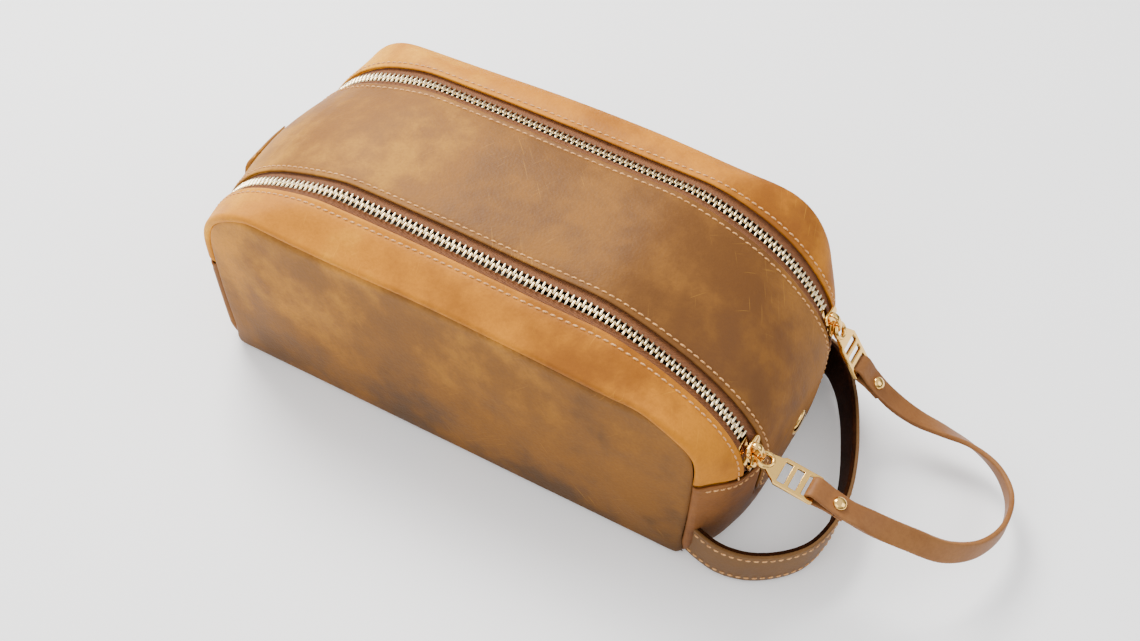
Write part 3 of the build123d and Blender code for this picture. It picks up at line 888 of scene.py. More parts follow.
@dataclass
class Zip:
    """Two parallel zips: tapes and rows of teeth."""

    form: BagForm
    zip_y: float = 41.0
    chain_half: float = 3.3
    tape_lap: float = 6.0
    tape_thick: float = 0.6
    tape_depth: float = 2.0
    pitch: float = 2.8
    tooth: tuple = (1.25, 4.4, 1.9)
    tooth_depth: float = 1.55
    low_z: float = 50.5
    last_tooth_z: float = 69.0
    meet: float = 1.05

    def tape(self, side: int, inner: bool, name: str) -> bpy.types.Object:
        """One woven tape; the inner ones are sewn to the centre panel.

        Args:
            side: -1 for the front of the bag, 1 for the back.
            inner: whether it belongs to the centre panel.
            name: name of the piece.

        Returns:
            The piece.
        """
        near, far = self.chain_half - 0.6, 6.5 + self.tape_lap
        sign = -1 if inner else 1
        y = side * (self.zip_y + sign * np.concatenate([[near, near + 0.3], np.linspace(near + 0.8, far, 9)]))
        along = np.linspace(0.0, 1.0, 260)
        share = self.form.over_top(y, self.low_z, self.low_z, along)
        bead = 0.5 * np.exp(-((np.abs(np.abs(y) - self.zip_y) - near) / 0.7) ** 2)
        grid = self.form.at(y[:, None], share, self.tape_depth - bead[:, None])
        length = reach_along(grid[0])[-1]
        uv = map_grid(along[None] * length, np.abs(y)[:, None])
        return thick_sheet(name, grid, self.tape_thick, uv)

    def places(self, side: int, shift: float) -> tuple[np.ndarray, np.ndarray]:
        """Evenly spaced points on a zip's line with their axes: along, across, outwards.

        Args:
            side: -1 for the front of the bag, 1 for the back.
            shift: place of the first tooth, in pitches.

        Returns:
            Places, and three unit vectors for each.
        """
        y = side * self.zip_y
        fine = np.linspace(0.0, 1.0, 4000)
        share = self.form.over_top(np.array([y]), self.low_z + 2.0, self.last_tooth_z, fine)[0]
        line = self.form.at(y, share)
        reach = reach_along(line)
        wanted = np.arange(shift * self.pitch, reach[-1], self.pitch)
        share = np.interp(wanted, reach, share)
        place = self.form.at(y, share, self.tooth_depth)
        ahead = self.form.at(y, share + 0.0006, self.tooth_depth)
        normal = unit(self.form.lookup(self.form.normal, np.full(len(share), y), share))
        return place, surface_axes(ahead - place, normal)

    def teeth(self, side: int, inner: bool, name: str) -> bpy.types.Object:
        """One row of rounded metal teeth, from its own tape to just past the middle.

        Args:
            side: -1 for the front of the bag, 1 for the back.
            inner: whether it belongs to the centre panel.
            name: name of the piece.

        Returns:
            The piece.
        """
        place, axes = self.places(side, 0.5 if inner else 1.0)
        sign = side * (-1 if inner else 1)
        shape, quads = tooth_shape(*self.tooth)
        shape = shape + np.array([0.0, sign * (self.tooth[1] / 2 - self.meet), 0.0])
        return copies(name, shape, quads, place, axes)


def surface_axes(along: np.ndarray, outward: np.ndarray) -> np.ndarray:
    """Axes on a surface: along, across and outwards, one a row.

    Args:
        along: directions along the line.
        outward: outward directions at the points.

    Returns:
        Three unit vectors for each point, one a row.
    """
    along = unit(along)
    across = unit(np.cross(outward, along))
    return np.stack([along, across, np.cross(along, across)], axis=1)


def tooth_shape(length: float, width: float, height: float) -> tuple[np.ndarray, np.ndarray]:
    """Bar across the zip with round ends and a round top.

    Args:
        length: length in millimetres.
        width: width in millimetres.
        height: height of the tooth.

    Returns:
        Points and faces of the tooth.
    """
    rings, sides = 6, 8
    share = np.array([-1.0, -0.9, -0.6, 0.6, 0.9, 1.0])
    fat = np.array([0.45, 0.8, 1.0, 1.0, 0.8, 0.45])
    angle = np.linspace(0.0, 2.0 * math.pi, sides, endpoint=False) + math.pi / 8
    x = fat[:, None] * np.cos(angle) * length / 2
    y = np.broadcast_to((share * width / 2)[:, None], (rings, sides))
    z = fat[:, None] * np.sin(angle) * height / 2
    quads = np.concatenate([grid_quads(rings, sides, wrap=True), strip_cap(sides, 0),
                            strip_cap(sides, (rings - 1) * sides)])
    return np.stack([x, y, z], axis=-1).reshape(-1, 3), quads


@dataclass
class Seam:
    """Rows of thread that sew the leather."""

    form: BagForm
    shell: Shell
    length: float = 2.9
    pitch: float = 3.6
    width: float = 0.95
    slant: float = 0.13
    sunk: float = 0.2

    def along_line(self, name: str, line: np.ndarray, outward: np.ndarray) -> bpy.types.Object:
        """Evenly spaced stitches on a line of points with outward normals.

        Args:
            name: name of the piece.
            line: points of the line.
            outward: outward directions at the points.

        Returns:
            The piece.
        """
        reach = reach_along(line)
        wanted = np.arange(self.pitch / 2, reach[-1], self.pitch)
        spots = sampled(line, reach, wanted)
        ahead = sampled(line, reach, wanted + 0.4)
        normal = unit(sampled(outward, reach, wanted))
        axes = surface_axes(ahead - spots, normal)
        turn = math.cos(self.slant), math.sin(self.slant)
        axes = np.stack([axes[:, 0] * turn[0] + axes[:, 1] * turn[1],
                         axes[:, 1] * turn[0] - axes[:, 0] * turn[1], axes[:, 2]], axis=1)
        shape, quads = capsule(self.length, self.width, 0.8, 0.35)
        return copies(name, shape, quads, spots + normal * 0.12, axes)

    def on_skin(self, name: str, y: np.ndarray, share: np.ndarray, drop: float) -> bpy.types.Object:
        """Stitches along a path given by y and share of the way round."""
        line = self.form.at(y, share, drop)
        return self.along_line(name, line, self.form.lookup(self.form.normal, y, share))

    def long_row(self, name: str, y: float, low_z: float, end_z: float) -> bpy.types.Object:
        """Row over the top of the bag at one distance from its middle.

        Args:
            name: name of the row.
            y: distance from the bag's middle.
            low_z: height at which it starts on the left wall.
            end_z: height at which it ends on the right wall.

        Returns:
            The stitches.
        """
        share = self.form.over_top(np.array([y]), low_z, end_z, np.linspace(0.0, 1.0, 900))[0]
        return self.on_skin(name, np.full(900, y), share, self.sunk)

    def lid_edge(self, side: int, word: str) -> bpy.types.Object:
        """Row along one long edge of the centre panel, down to the tail's corner.

        Args:
            side: -1 for the front of the bag, 1 for the back.
            word: front or back.

        Returns:
            The piece.
        """
        shell = self.shell
        return self.long_row(f"{word}_lid_thread", side * (shell.lid_half - shell.stitch_in),
                             shell.band_top + 1.0, shell.tail_end + shell.tail_corner)

    def gusset_edge(self, side: int, word: str) -> bpy.types.Object:
        """Row along the zip edge of a gusset.

        Args:
            side: -1 for the front of the bag, 1 for the back.
            word: front or back.

        Returns:
            The piece.
        """
        shell = self.shell
        low = shell.band_top + 2.0
        return self.long_row(f"{word}_gusset_thread", side * (shell.gusset_inner + shell.stitch_in), low, low)

    def tail_end(self) -> bpy.types.Object:
        """Row round the tail's end.

        Returns:
            The piece.
        """
        inner = self.shell.lid_half - self.shell.stitch_in
        corner = self.shell.tail_corner - self.shell.stitch_in
        turn = np.linspace(0.0, math.pi / 2, 40)
        y = np.concatenate([-inner + corner * (1 - np.cos(turn)), inner - corner * (1 - np.cos(turn[::-1]))])
        z = self.shell.tail_end + self.shell.stitch_in + corner * (1 - np.sin(turn))
        z = np.concatenate([z, z[::-1]])
        return self.on_skin("tail_thread", y, self.form.share_at_height(y, z, True), self.sunk)

    def band_end(self, right: bool, y_low: float, y_high: float, name: str) -> bpy.types.Object:
        """Row just below the lower band's top edge.

        Args:
            right: whether the right wall is meant, not the left.
            y_low: distance from the middle where the row starts.
            y_high: distance where it ends.
            name: name of the piece.

        Returns:
            The piece.
        """
        y = np.linspace(y_low, y_high, 160)
        share = self.form.share_at_height(y, self.shell.band_edge(y) - self.shell.stitch_in, right)
        return self.on_skin(name, y, share, self.sunk)

    def tab(self, z: float, name: str) -> bpy.types.Object:
        """Short row that sews one end of the grip tab.

        Args:
            z: height of the row.
            name: name of the piece.

        Returns:
            The piece.
        """
        y = np.linspace(-8.5, 8.5, 30)
        share = self.form.share_at_height(y, z, False)
        return self.on_skin(name, y, share, -self.shell.tab_stand)


def plate(name: str, outline: np.ndarray, holes: list[np.ndarray], thick: float, bevel: float,
          place: np.ndarray) -> bpy.types.Object:
    """Flat metal plate with holes and rounded edges.

    Args:
        name: name of the piece.
        outline: points round the plate.
        holes: points round each hole.
        thick: full thickness.
        bevel: rounding of the edges.
        place: origin and the plate's x, y and z directions, one a row.

    Returns:
        The plate.
    """
    curve = bpy.data.curves.new(name, "CURVE")
    curve.dimensions = "2D"
    curve.fill_mode = "BOTH"
    curve.extrude = thick / 2 - bevel
    curve.bevel_depth = bevel
    curve.bevel_resolution = 3
    curve.offset = -bevel
    for ring in [outline] + holes:
        spline = curve.splines.new("POLY")
        spline.points.add(len(ring) - 1)
        flat = np.concatenate([ring, np.zeros((len(ring), 1)), np.ones((len(ring), 1))], axis=1)
        spline.points.foreach_set("co", flat.ravel())
        spline.use_cyclic_u = True
    source = bpy.data.objects.new(name, curve)
    bpy.context.scene.collection.objects.link(source)
    graph = bpy.context.evaluated_depsgraph_get()
    mesh = bpy.data.meshes.new_from_object(source.evaluated_get(graph))
    bpy.data.objects.remove(source)
    bpy.data.curves.remove(curve)
    work = bmesh.new()
    work.from_mesh(mesh)
    bmesh.ops.remove_doubles(work, verts=work.verts, dist=0.01)
    bmesh.ops.recalc_face_normals(work, faces=work.faces)
    work.to_mesh(mesh)
    work.free()
    local = np.empty(len(mesh.vertices) * 3)
    mesh.vertices.foreach_get("co", local)
    points = place[0] + local.reshape(-1, 3) @ place[1:]
    mesh.vertices.foreach_set("co", (points * MM).ravel())
    mesh.materials.clear()
    mesh.shade_smooth()
    mesh.set_sharp_from_angle(angle=math.radians(40.0))
    mesh.update()
    piece = bpy.data.objects.new(name, mesh)
    bpy.context.scene.collection.objects.link(piece)
    return piece


def arc(centre: tuple, radius: float, start: float, end: float, count: int) -> np.ndarray:
    """Points on an arc; angles in degrees."""
    angle = np.radians(np.linspace(start, end, count))
    return np.array(centre) + radius * np.stack([np.cos(angle), np.sin(angle)], axis=-1)


def rounded_rectangle(x: float, y: float, width: float, height: float, radius: float) -> np.ndarray:
    """Rounded rectangle centred on (x, y)."""
    return rounded_box_profile(width, height, radius) + np.array([x, y])


@dataclass
class Hardware:
    """Slider, pull and rivet of one zip, in frames taken from the CAD's pivot."""

    side: int
    pull_angle: float
    fold_angle: float
    pivot: tuple = (145.747, 60.231)
    zip_y: float = 41.0
    pull_y: float = 42.3
    tilt: float = 68.0
    end_bar: float = 25.8
    rivet_along: float = 11.3
    slider_back: float = 3.0
    slider_sink: float = 2.4
    slider_thick: float = 1.5
    slider_bevel: float = 0.45
    arch_half: float = 4.75
    arch_rise: float = 3.3
    ring_x: float = 1.9
    ring_outer: float = 4.5
    ring_hole: float = 2.55
    ring_middle: float = 3.45
    pull_half: float = 7.3
    pull_thick: float = 1.7
    pull_bevel: float = 0.3
    slots: tuple = (11.6, 17.0, 22.9)
    slot_size: tuple = (3.3, 10.8, 0.5)
    dome_radius: float = 3.15
    dome_rise: float = 1.9

    def tilted(self, origin: np.ndarray, angle: float) -> np.ndarray:
        """Origin, x sloping down by angle, y across, z outwards."""
        c, s = math.cos(math.radians(angle)), math.sin(math.radians(angle))
        return np.array([origin, [c, 0.0, -s], [0.0, 1.0, 0.0], [s, 0.0, c]])

    def slider_place(self) -> np.ndarray:
        """Middle of the slider on the leather's face.

        Returns:
            Origin and directions, one a row.
        """
        place = self.tilted(np.zeros(3), self.tilt)
        pivot = np.array([self.pivot[0], self.side * self.zip_y, self.pivot[1]])
        place[0] = pivot - self.slider_back * place[1] - self.slider_sink * place[3]
        return place

    def pull_place(self) -> np.ndarray:
        """Middle of the pull's bar; x runs down the pull."""
        return self.tilted(np.array([self.pivot[0], self.side * self.pull_y, self.pivot[1]]), self.pull_angle)

    def fold_place(self) -> np.ndarray:
        """Middle of the bar that the strap folds round; x runs down the strap."""
        pull = self.pull_place()
        return self.tilted(pull[0] + self.end_bar * pull[1], self.fold_angle)

    def slider_plate(self, level: float, name: str) -> bpy.types.Object:
        """One lobed plate of the slider, at a level above the leather's face.

        Args:
            level: height above the face of the leather.
            name: name of the piece.

        Returns:
            The piece.
        """
        half = np.concatenate([arc((-3.6, 3.3), 2.5, 175, 60, 8), arc((-0.4, 3.6), 0.9, 240, 300, 4),
                               arc((3.2, 3.0), 2.3, 110, -20, 9), arc((5.4, 0.9), 1.0, 60, 0, 4)])
        outline = np.concatenate([half, half[::-1] * np.array([1.0, -1.0])])
        place = self.slider_place()
        place[0] = place[0] + level * place[3]
        return plate(name, outline[::-1], [], self.slider_thick, self.slider_bevel, place)

    def slider_core(self, name: str) -> bpy.types.Object:
        """Arch on the slider that holds the pull.

        Args:
            name: name of the piece.

        Returns:
            The piece.
        """
        place = self.slider_place()
        turn = np.linspace(0.0, math.pi, 25)
        x = self.arch_half * np.sign(np.cos(turn)) * np.abs(np.cos(turn)) ** 0.75
        z = 0.6 + self.arch_rise * np.sin(turn) ** 0.7
        line = place[0] + x[:, None] * place[1] + z[:, None] * place[3]
        tangent = unit(np.gradient(line, axis=0))
        across = np.broadcast_to(place[2], line.shape)
        return tube(name, line, across, np.cross(tangent, across), rounded_box_profile(2.7, 1.3, 0.55))

    def slider_post(self, name: str) -> bpy.types.Object:
        """Wedge between the slider's plates.

        Args:
            name: name of the piece.

        Returns:
            The piece.
        """
        place = self.slider_place()
        line = place[0] + 3.5 * place[1] + np.linspace(-3.6, 0.0, 4)[:, None] * place[3]
        across = np.broadcast_to(place[1], line.shape)
        out = np.broadcast_to(place[2], line.shape)
        return tube(name, line, across, out, rounded_box_profile(2.6, 1.8, 0.6))

    def pull(self, name: str) -> bpy.types.Object:
        """Flat pull with a round ring end and three slots.

        Args:
            name: name of the piece.

        Returns:
            The piece.
        """
        middle = (self.ring_x, self.side * (self.zip_y - self.pull_y))
        ring = arc(middle, self.ring_outer, 68, 292, 26)
        shoulder = np.array([[8.0, 1.1 - self.pull_half], [9.4, -self.pull_half]])
        low = arc((25.9, 1.1 - self.pull_half), 1.1, -90, 0, 6)
        high = arc((25.9, self.pull_half - 1.1), 1.1, 0, 90, 6)
        outline = np.concatenate([ring, shoulder, low, high, shoulder[::-1] * [1, -1]])
        holes = [arc(middle, self.ring_hole, 360, 15, 24)]
        holes += [rounded_rectangle(x, 0.0, *self.slot_size)[::-1] for x in self.slots]
        return plate(name, outline, holes, self.pull_thick, self.pull_bevel, self.pull_place())

    def ring(self, name: str) -> bpy.types.Object:
        """Raised rim round the pull's hole.

        Args:
            name: name of the piece.

        Returns:
            The piece.
        """
        place = self.pull_place()
        shift = self.side * (self.zip_y - self.pull_y)
        centre = place[0] + self.ring_x * place[1] + shift * place[2]
        angle = np.linspace(0.0, 2.0 * math.pi, 16, endpoint=False)
        profile = np.stack([self.ring_middle + 0.95 * np.cos(angle), 0.35 + 1.05 * np.sin(angle)], axis=-1)
        turn = np.linspace(0.0, 2.0 * math.pi, 40, endpoint=False)
        radial = np.cos(turn)[:, None] * place[1] + np.sin(turn)[:, None] * place[2]
        grid = centre + profile[None, :, :1] * radial[:, None] + profile[None, :, 1:] * place[3]
        grid = np.concatenate([grid, grid[:1]])
        quads = grid_quads(40, 16, wrap=True)
        last = grid_quads(2, 16, wrap=True)
        last = np.where(last >= 16, last - 16, last + 39 * 16)
        return make_object(name, grid[:40].reshape(-1, 3), np.concatenate([quads, last]))

    def rivet(self, name: str) -> bpy.types.Object:
        """Domed rivet with a flat back.

        Args:
            name: name of the piece.

        Returns:
            The piece.
        """
        place = self.fold_place()
        centre = place[0] + self.rivet_along * place[1]
        turn = np.linspace(0.0, 1.45, 9)
        dome = np.stack([self.dome_radius * np.cos(turn), 1.7 + self.dome_rise * np.sin(turn)], axis=-1)
        lower = np.array([[0.2, -2.6], [2.6, -2.6], [2.8, -2.4], [2.8, -1.7], [1.2, -1.6],
                          [1.2, 1.5], [3.0, 1.5]])
        return lathe(name, np.concatenate([lower, dome]), centre, place[3])


@dataclass
class Snap:
    """Domed cap of the snap on the lid's tail."""

    middle: tuple = (147.2, 0.0, 38.0)
    axis: tuple = (1.0, 0.0, -0.07)
    radius: float = 6.25
    rise: float = 1.7

    def cap(self) -> bpy.types.Object:
        """The cap, turned from a low dome with a steep rim.

        Returns:
            The piece.
        """
        turn = np.linspace(0.0, 1.5, 10)
        dome = np.stack([self.radius * np.cos(turn) ** 0.6, 0.2 + self.rise * np.sin(turn)], axis=-1)
        profile = np.concatenate([[[0.1, -0.4], [6.2, -0.4]], dome])
        return lathe("snap_dome", profile, np.array(self.middle), np.array(self.axis))


@dataclass
class WristStrap:
    """Flat strap between the two pulls, folded round a bar at each end."""

    front: Hardware
    back: Hardware
    width: float = 10.4
    thick: float = 2.5
    fold_thick: float = 1.55
    fold_radius: float = 2.45
    fold_length: float = 15.5
    route: tuple = (
        (196.5, -38.8, 46.5, 22), (212.5, -33.0, 38.5, 45), (228.0, -24.5, 28.5, 68),
        (239.5, -10.5, 21.0, 85), (245.0, 8.0, 17.0, 90), (242.0, 25.5, 15.3, 88),
        (232.0, 37.5, 15.0, 74), (218.0, 43.5, 15.6, 52), (204.0, 44.0, 17.0, 28),
        (190.5, 43.0, 19.6, 10))

    def fold(self, hardware: Hardware) -> np.ndarray:
        """Middle line of a folded end, from the lower ply's end round the bar to the upper ply.

        Args:
            hardware: the metal parts of that end.

        Returns:
            Points of the line.
        """
        place = hardware.fold_place()
        turn = np.radians(np.linspace(-100.0, -260.0, 17))
        bend = self.fold_radius * np.stack([np.cos(turn), np.sin(turn)], axis=-1)
        lower = np.array([[self.fold_length, -1.0], [10.0, -1.0], [6.0, -1.35], [3.0, -2.0]])
        upper = np.array([[3.2, 2.0], [6.5, 1.2], [10.0, 0.85], [14.0, 0.45]])
        flat = np.concatenate([lower, bend, upper])
        return place[0] + flat[:, :1] * place[1] + flat[:, 1:] * place[3]

    def build(self) -> bpy.types.Object:
        """The whole strap as one swept ribbon; its last edge is skived thin at the folds.

        Returns:
            The piece.
        """
        front, back = self.fold(self.front), self.fold(self.back)
        route = np.array(self.route)
        turns = np.concatenate([np.zeros(len(front)), route[:, 3], np.zeros(len(back))])
        points = np.concatenate([front, route[:, :3], back[::-1]])
        line = curve_through(np.column_stack([points, turns]), 760)
        line, turn = line[:, :3], np.radians(line[:, 3])
        tangent = unit(np.gradient(line, axis=0))
        reach = reach_along(line)
        level = self.level(line, tangent)
        rise = np.cross(tangent, level)
        across = level * np.cos(turn)[:, None] + rise * np.sin(turn)[:, None]
        out = np.cross(tangent, across)
        from_end = np.minimum(reach, reach[-1] - reach)
        thick = self.fold_thick + (self.thick - self.fold_thick) * ease((from_end - 34.0) / 14.0)
        rng = np.random.default_rng(SEED + 3)
        fuzz = rng.normal(0.0, 0.05, (len(line), 2))
        base = rounded_box_profile(1.0, 1.0, 0.16, 4)
        corner = np.stack([np.full(len(line), self.width), thick], axis=-1)
        profile = base[None] * corner[:, None] * (1.0 + fuzz[:, None] * np.array([0.12, 0.0]))
        side = np.abs(np.roll(base[:, 0], -1) + base[:, 0]) > 0.97
        return tube("wrist_strap_leather", line, across, out, profile, side.astype(int))

    @staticmethod
    def level(line: np.ndarray, tangent: np.ndarray) -> np.ndarray:
        """Level direction across the strap, kept the same way up round the folds.

        Args:
            line: middle line of the strap.
            tangent: directions along the line.

        Returns:
            Unit vectors.
        """
        level = np.stack([-tangent[:, 1], tangent[:, 0], 0 * tangent[:, 0]], axis=-1)
        near_end = (line[:, 0] < 186.0)[:, None]
        end = np.where(line[:, 1:2] < 0, np.array([[0.0, 1.0, 0.0]]), np.array([[0.0, -1.0, 0.0]]))
        mix = ease((line[:, 0] - 176.0) / 12.0)[:, None]
        level = np.where(near_end, end * (1 - mix) + unit(level) * mix, unit(level))
        level = level - tangent * (level * tangent).sum(axis=1, keepdims=True)
        return unit(level)


@dataclass
class Handle:
    """Carrying handle: two plies sewn together, standing on edge."""

    width: float = 22.0
    ply: float = 1.65
    middle_z: float = 12.6
    flare: float = 1.4
    plan: tuple = (
        (123.0, -61.0), (133.5, -64.8), (141.5, -66.2), (152.5, -64.6), (165.0, -57.5),
        (174.5, -46.5), (178.6, -31.0), (178.0, -14.0), (173.8, 4.0), (167.0, 22.5),
        (158.5, 40.5), (149.0, 54.5), (141.5, 61.2), (133.5, 63.6), (123.0, 60.5))
    thread_height: float = 8.3

    def frame(self) -> tuple[np.ndarray, np.ndarray, np.ndarray]:
        """Middle line, the direction away from the bag, and the leaning upright direction.

        Returns:
            Line, outward directions and upright directions.
        """
        flat = np.array(self.plan)
        line = curve_through(np.column_stack([flat, np.full(len(flat), self.middle_z)]), 420)
        tangent = unit(np.gradient(line, axis=0))
        out = unit(np.stack([tangent[:, 1], -tangent[:, 0], 0 * tangent[:, 0]], axis=-1))
        share = np.linspace(0.0, 1.0, len(line))
        lean = self.flare * np.sin(math.pi * share) ** 0.7 / (self.width / 2)
        up = unit(np.array([0.0, 0.0, 1.0]) + out * lean[:, None])
        return line, out, up

    def ply_piece(self, outer: bool, name: str) -> bpy.types.Object:
        """One ply; its two long edges are raw.

        Args:
            outer: whether it is the outer ply.
            name: name of the piece.

        Returns:
            The piece.
        """
        line, out, up = self.frame()
        base = rounded_box_profile(self.ply, self.width, 0.5, 4)
        middle = base + np.array([(self.ply / 2) * (1 if outer else -1), 0.0])
        rng = np.random.default_rng(SEED + (4 if outer else 5))
        wobble = 1.0 + 0.004 * rng.normal(0.0, 1.0, (len(line), 1, 1)) * np.array([0.0, 1.0])
        edge = np.abs(np.roll(base[:, 1], -1) + base[:, 1]) > self.width - 0.7
        return tube(name, line, out, up, middle[None] * wobble, edge.astype(int))

    def thread(self, seam: Seam, height: float, name: str) -> bpy.types.Object:
        """Row of stitches on the outer face at a height from the middle."""
        line, out, up = self.frame()
        return seam.along_line(name, line + out * (self.ply - 0.05) + up * height, out)


# ---------------------------------------------------------------- materials
Colour = tuple[float, float, float]


class Nodes:
    """Short way to add and join shader nodes in one tree."""

    def __init__(self, tree: bpy.types.NodeTree) -> None:
        """Keep the tree and clear it."""
        self.tree = tree
        tree.nodes.clear()

    def add(self, kind: str, inputs: dict | None = None, **settings) -> bpy.types.Node:
        """Add a node; inputs are values or output sockets by input name or number.

        Args:
            kind: type of the node.
            inputs: values or output sockets, by input name or number.
            settings: properties of the node.

        Returns:
            The node.
        """
        node = self.tree.nodes.new(kind)
        for key, value in settings.items():
            setattr(node, key, value)
        for key, value in (inputs or {}).items():
            if isinstance(value, bpy.types.NodeSocket):
                self.tree.links.new(value, node.inputs[key])
            else:
                node.inputs[key].default_value = value
        return node

    def math(self, operation: str, a: object, b: object = 0.0, clamp: bool = False) -> bpy.types.NodeSocket:
        """Result of a sum on two values."""
        return self.add("ShaderNodeMath", {0: a, 1: b}, operation=operation, use_clamp=clamp).outputs[0]

    def span(self, value: object, low: float, high: float) -> bpy.types.NodeSocket:
        """Value mapped smoothly from low..high to 0..1."""
        inputs = {"Value": value, "From Min": low, "From Max": high}
        return self.add("ShaderNodeMapRange", inputs, interpolation_type="SMOOTHSTEP").outputs[0]

    def noise(self, vector: object, scale: float, detail: float = 3.0,
              rough: float = 0.55) -> bpy.types.NodeSocket:
        """Cloudy noise between 0 and 1."""
        inputs = {"Vector": vector, "Scale": scale, "Detail": detail, "Roughness": rough}
        return self.add("ShaderNodeTexNoise", inputs).outputs[0]

    def mix(self, factor: object, a: object, b: object) -> bpy.types.NodeSocket:
        """Colour between a and b.

        Args:
            factor: share of the second colour.
            a: first value.
            b: second value.

        Returns:
            The colour.
        """
        node = self.add("ShaderNodeMix", {0: factor}, data_type="RGBA")
        for key, value in ((6, a), (7, b)):
            if isinstance(value, bpy.types.NodeSocket):
                self.tree.links.new(value, node.inputs[key])
            else:
                node.inputs[key].default_value = (*value[:3], 1.0)
        return node.outputs[2]

    def stretched(self, vector: object, scale: Colour, turn: Colour) -> bpy.types.NodeSocket:
        """Vector turned, then scaled."""
        turned = self.add("ShaderNodeMapping", {"Vector": vector, "Rotation": turn}).outputs[0]
        return self.add("ShaderNodeMapping", {"Vector": turned, "Scale": scale}).outputs[0]

    def bump(self, height: object, distance: float, strength: float) -> bpy.types.NodeSocket:
        """Normal from a height."""
        inputs = {"Height": height, "Distance": distance, "Strength": strength}
        return self.add("ShaderNodeBump", inputs).outputs[0]


def group(name: str, outputs: dict[str, str]) -> tuple[bpy.types.NodeTree, Nodes, bpy.types.NodeSocket]:
    """New node group with a Vector input and the named outputs.

    Args:
        name: name of the group.
        outputs: socket type of each output.

    Returns:
        The group, its node helper and the Vector input's socket.
    """
    tree = bpy.data.node_groups.new(name, "ShaderNodeTree")
    tree.interface.new_socket("Vector", in_out="INPUT", socket_type="NodeSocketVector")
    for key, kind in outputs.items():
        tree.interface.new_socket(key, in_out="OUTPUT", socket_type=kind)
    nodes = Nodes(tree)
    return tree, nodes, nodes.add("NodeGroupInput").outputs[0]


def hide_group() -> bpy.types.NodeTree:
    """Masks of waxed leather: slow mottling, fine specks, light scratches and the grain's height.

    Returns:
        The group.
    """
    value = "NodeSocketFloat"
    outputs = {"Mottle": value, "Speck": value, "Scratch": value, "Grain": value}
    tree, n, vector = group("hide_masks", outputs)
    slow = n.noise(vector, 14.0, 3.0, 0.5)
    quick = n.noise(vector, 75.0, 4.0, 0.6)
    clouds = n.math("ADD", n.math("MULTIPLY", slow, 0.68), n.math("MULTIPLY", quick, 0.32))
    mottle = n.span(clouds, 0.34, 0.66)
    speck = n.span(n.noise(vector, 700.0, 3.0, 0.7), 0.36, 0.66)
    lines = []
    for turn, scale in ((0.6, (34.0, 2600.0, 60.0)), (2.3, (46.0, 2200.0, 60.0))):
        streak = n.noise(n.stretched(vector, scale, (0.9, 0.0, turn)), 1.0, 1.0, 0.5)
        lines.append(n.span(streak, 0.70, 0.76))
    patch = n.span(n.noise(vector, 30.0, 1.0), 0.48, 0.62)
    scratch = n.math("MULTIPLY", n.math("MAXIMUM", lines[0], lines[1]), patch)
    pores = n.add("ShaderNodeTexVoronoi", {"Vector": vector, "Scale": 850.0}, feature="SMOOTH_F1").outputs[0]
    wrinkle = n.noise(vector, 380.0, 5.0, 0.65)
    grain = n.math("ADD", n.math("MULTIPLY", pores, 0.7), n.math("MULTIPLY", wrinkle, 0.9))
    out = {"Mottle": mottle, "Speck": speck, "Scratch": scratch, "Grain": grain}
    n.add("NodeGroupOutput", out)
    return tree


def weave_group() -> bpy.types.NodeTree:
    """Height and shade of a ribbed twill, from map coordinates in millimetres.

    Returns:
        The group.
    """
    tree, n, vector = group("weave_masks", {"Shade": "NodeSocketFloat", "Height": "NodeSocketFloat"})
    parts = n.add("ShaderNodeSeparateXYZ", {0: vector}).outputs
    rib = n.math("SINE", n.math("MULTIPLY", n.math("ADD", parts[0], n.math("MULTIPLY", parts[1], 0.9)), 7.2))
    cross = n.math("SINE", n.math("MULTIPLY", parts[1], 9.5))
    height = n.math("ADD", n.math("MULTIPLY", rib, 0.35), n.math("MULTIPLY", cross, 0.2))
    shade = n.math("ADD", n.math("MULTIPLY", height, 0.6), n.noise(vector, 0.5, 2.0), True)
    n.add("NodeGroupOutput", {"Shade": shade, "Height": height})
    return tree


class Finish:
    """A material made from one Principled surface."""

    def material(self, name: str) -> tuple[bpy.types.Material, Nodes, bpy.types.Node]:
        """New material with a Principled surface joined to its output.

        Args:
            name: name of the material.

        Returns:
            The material, its node helper and its Principled node.
        """
        material = bpy.data.materials.new(name)
        material.use_nodes = True
        nodes = Nodes(material.node_tree)
        surface = nodes.add("ShaderNodeBsdfPrincipled")
        nodes.add("ShaderNodeOutputMaterial", {0: surface.outputs[0]})
        return material, nodes, surface


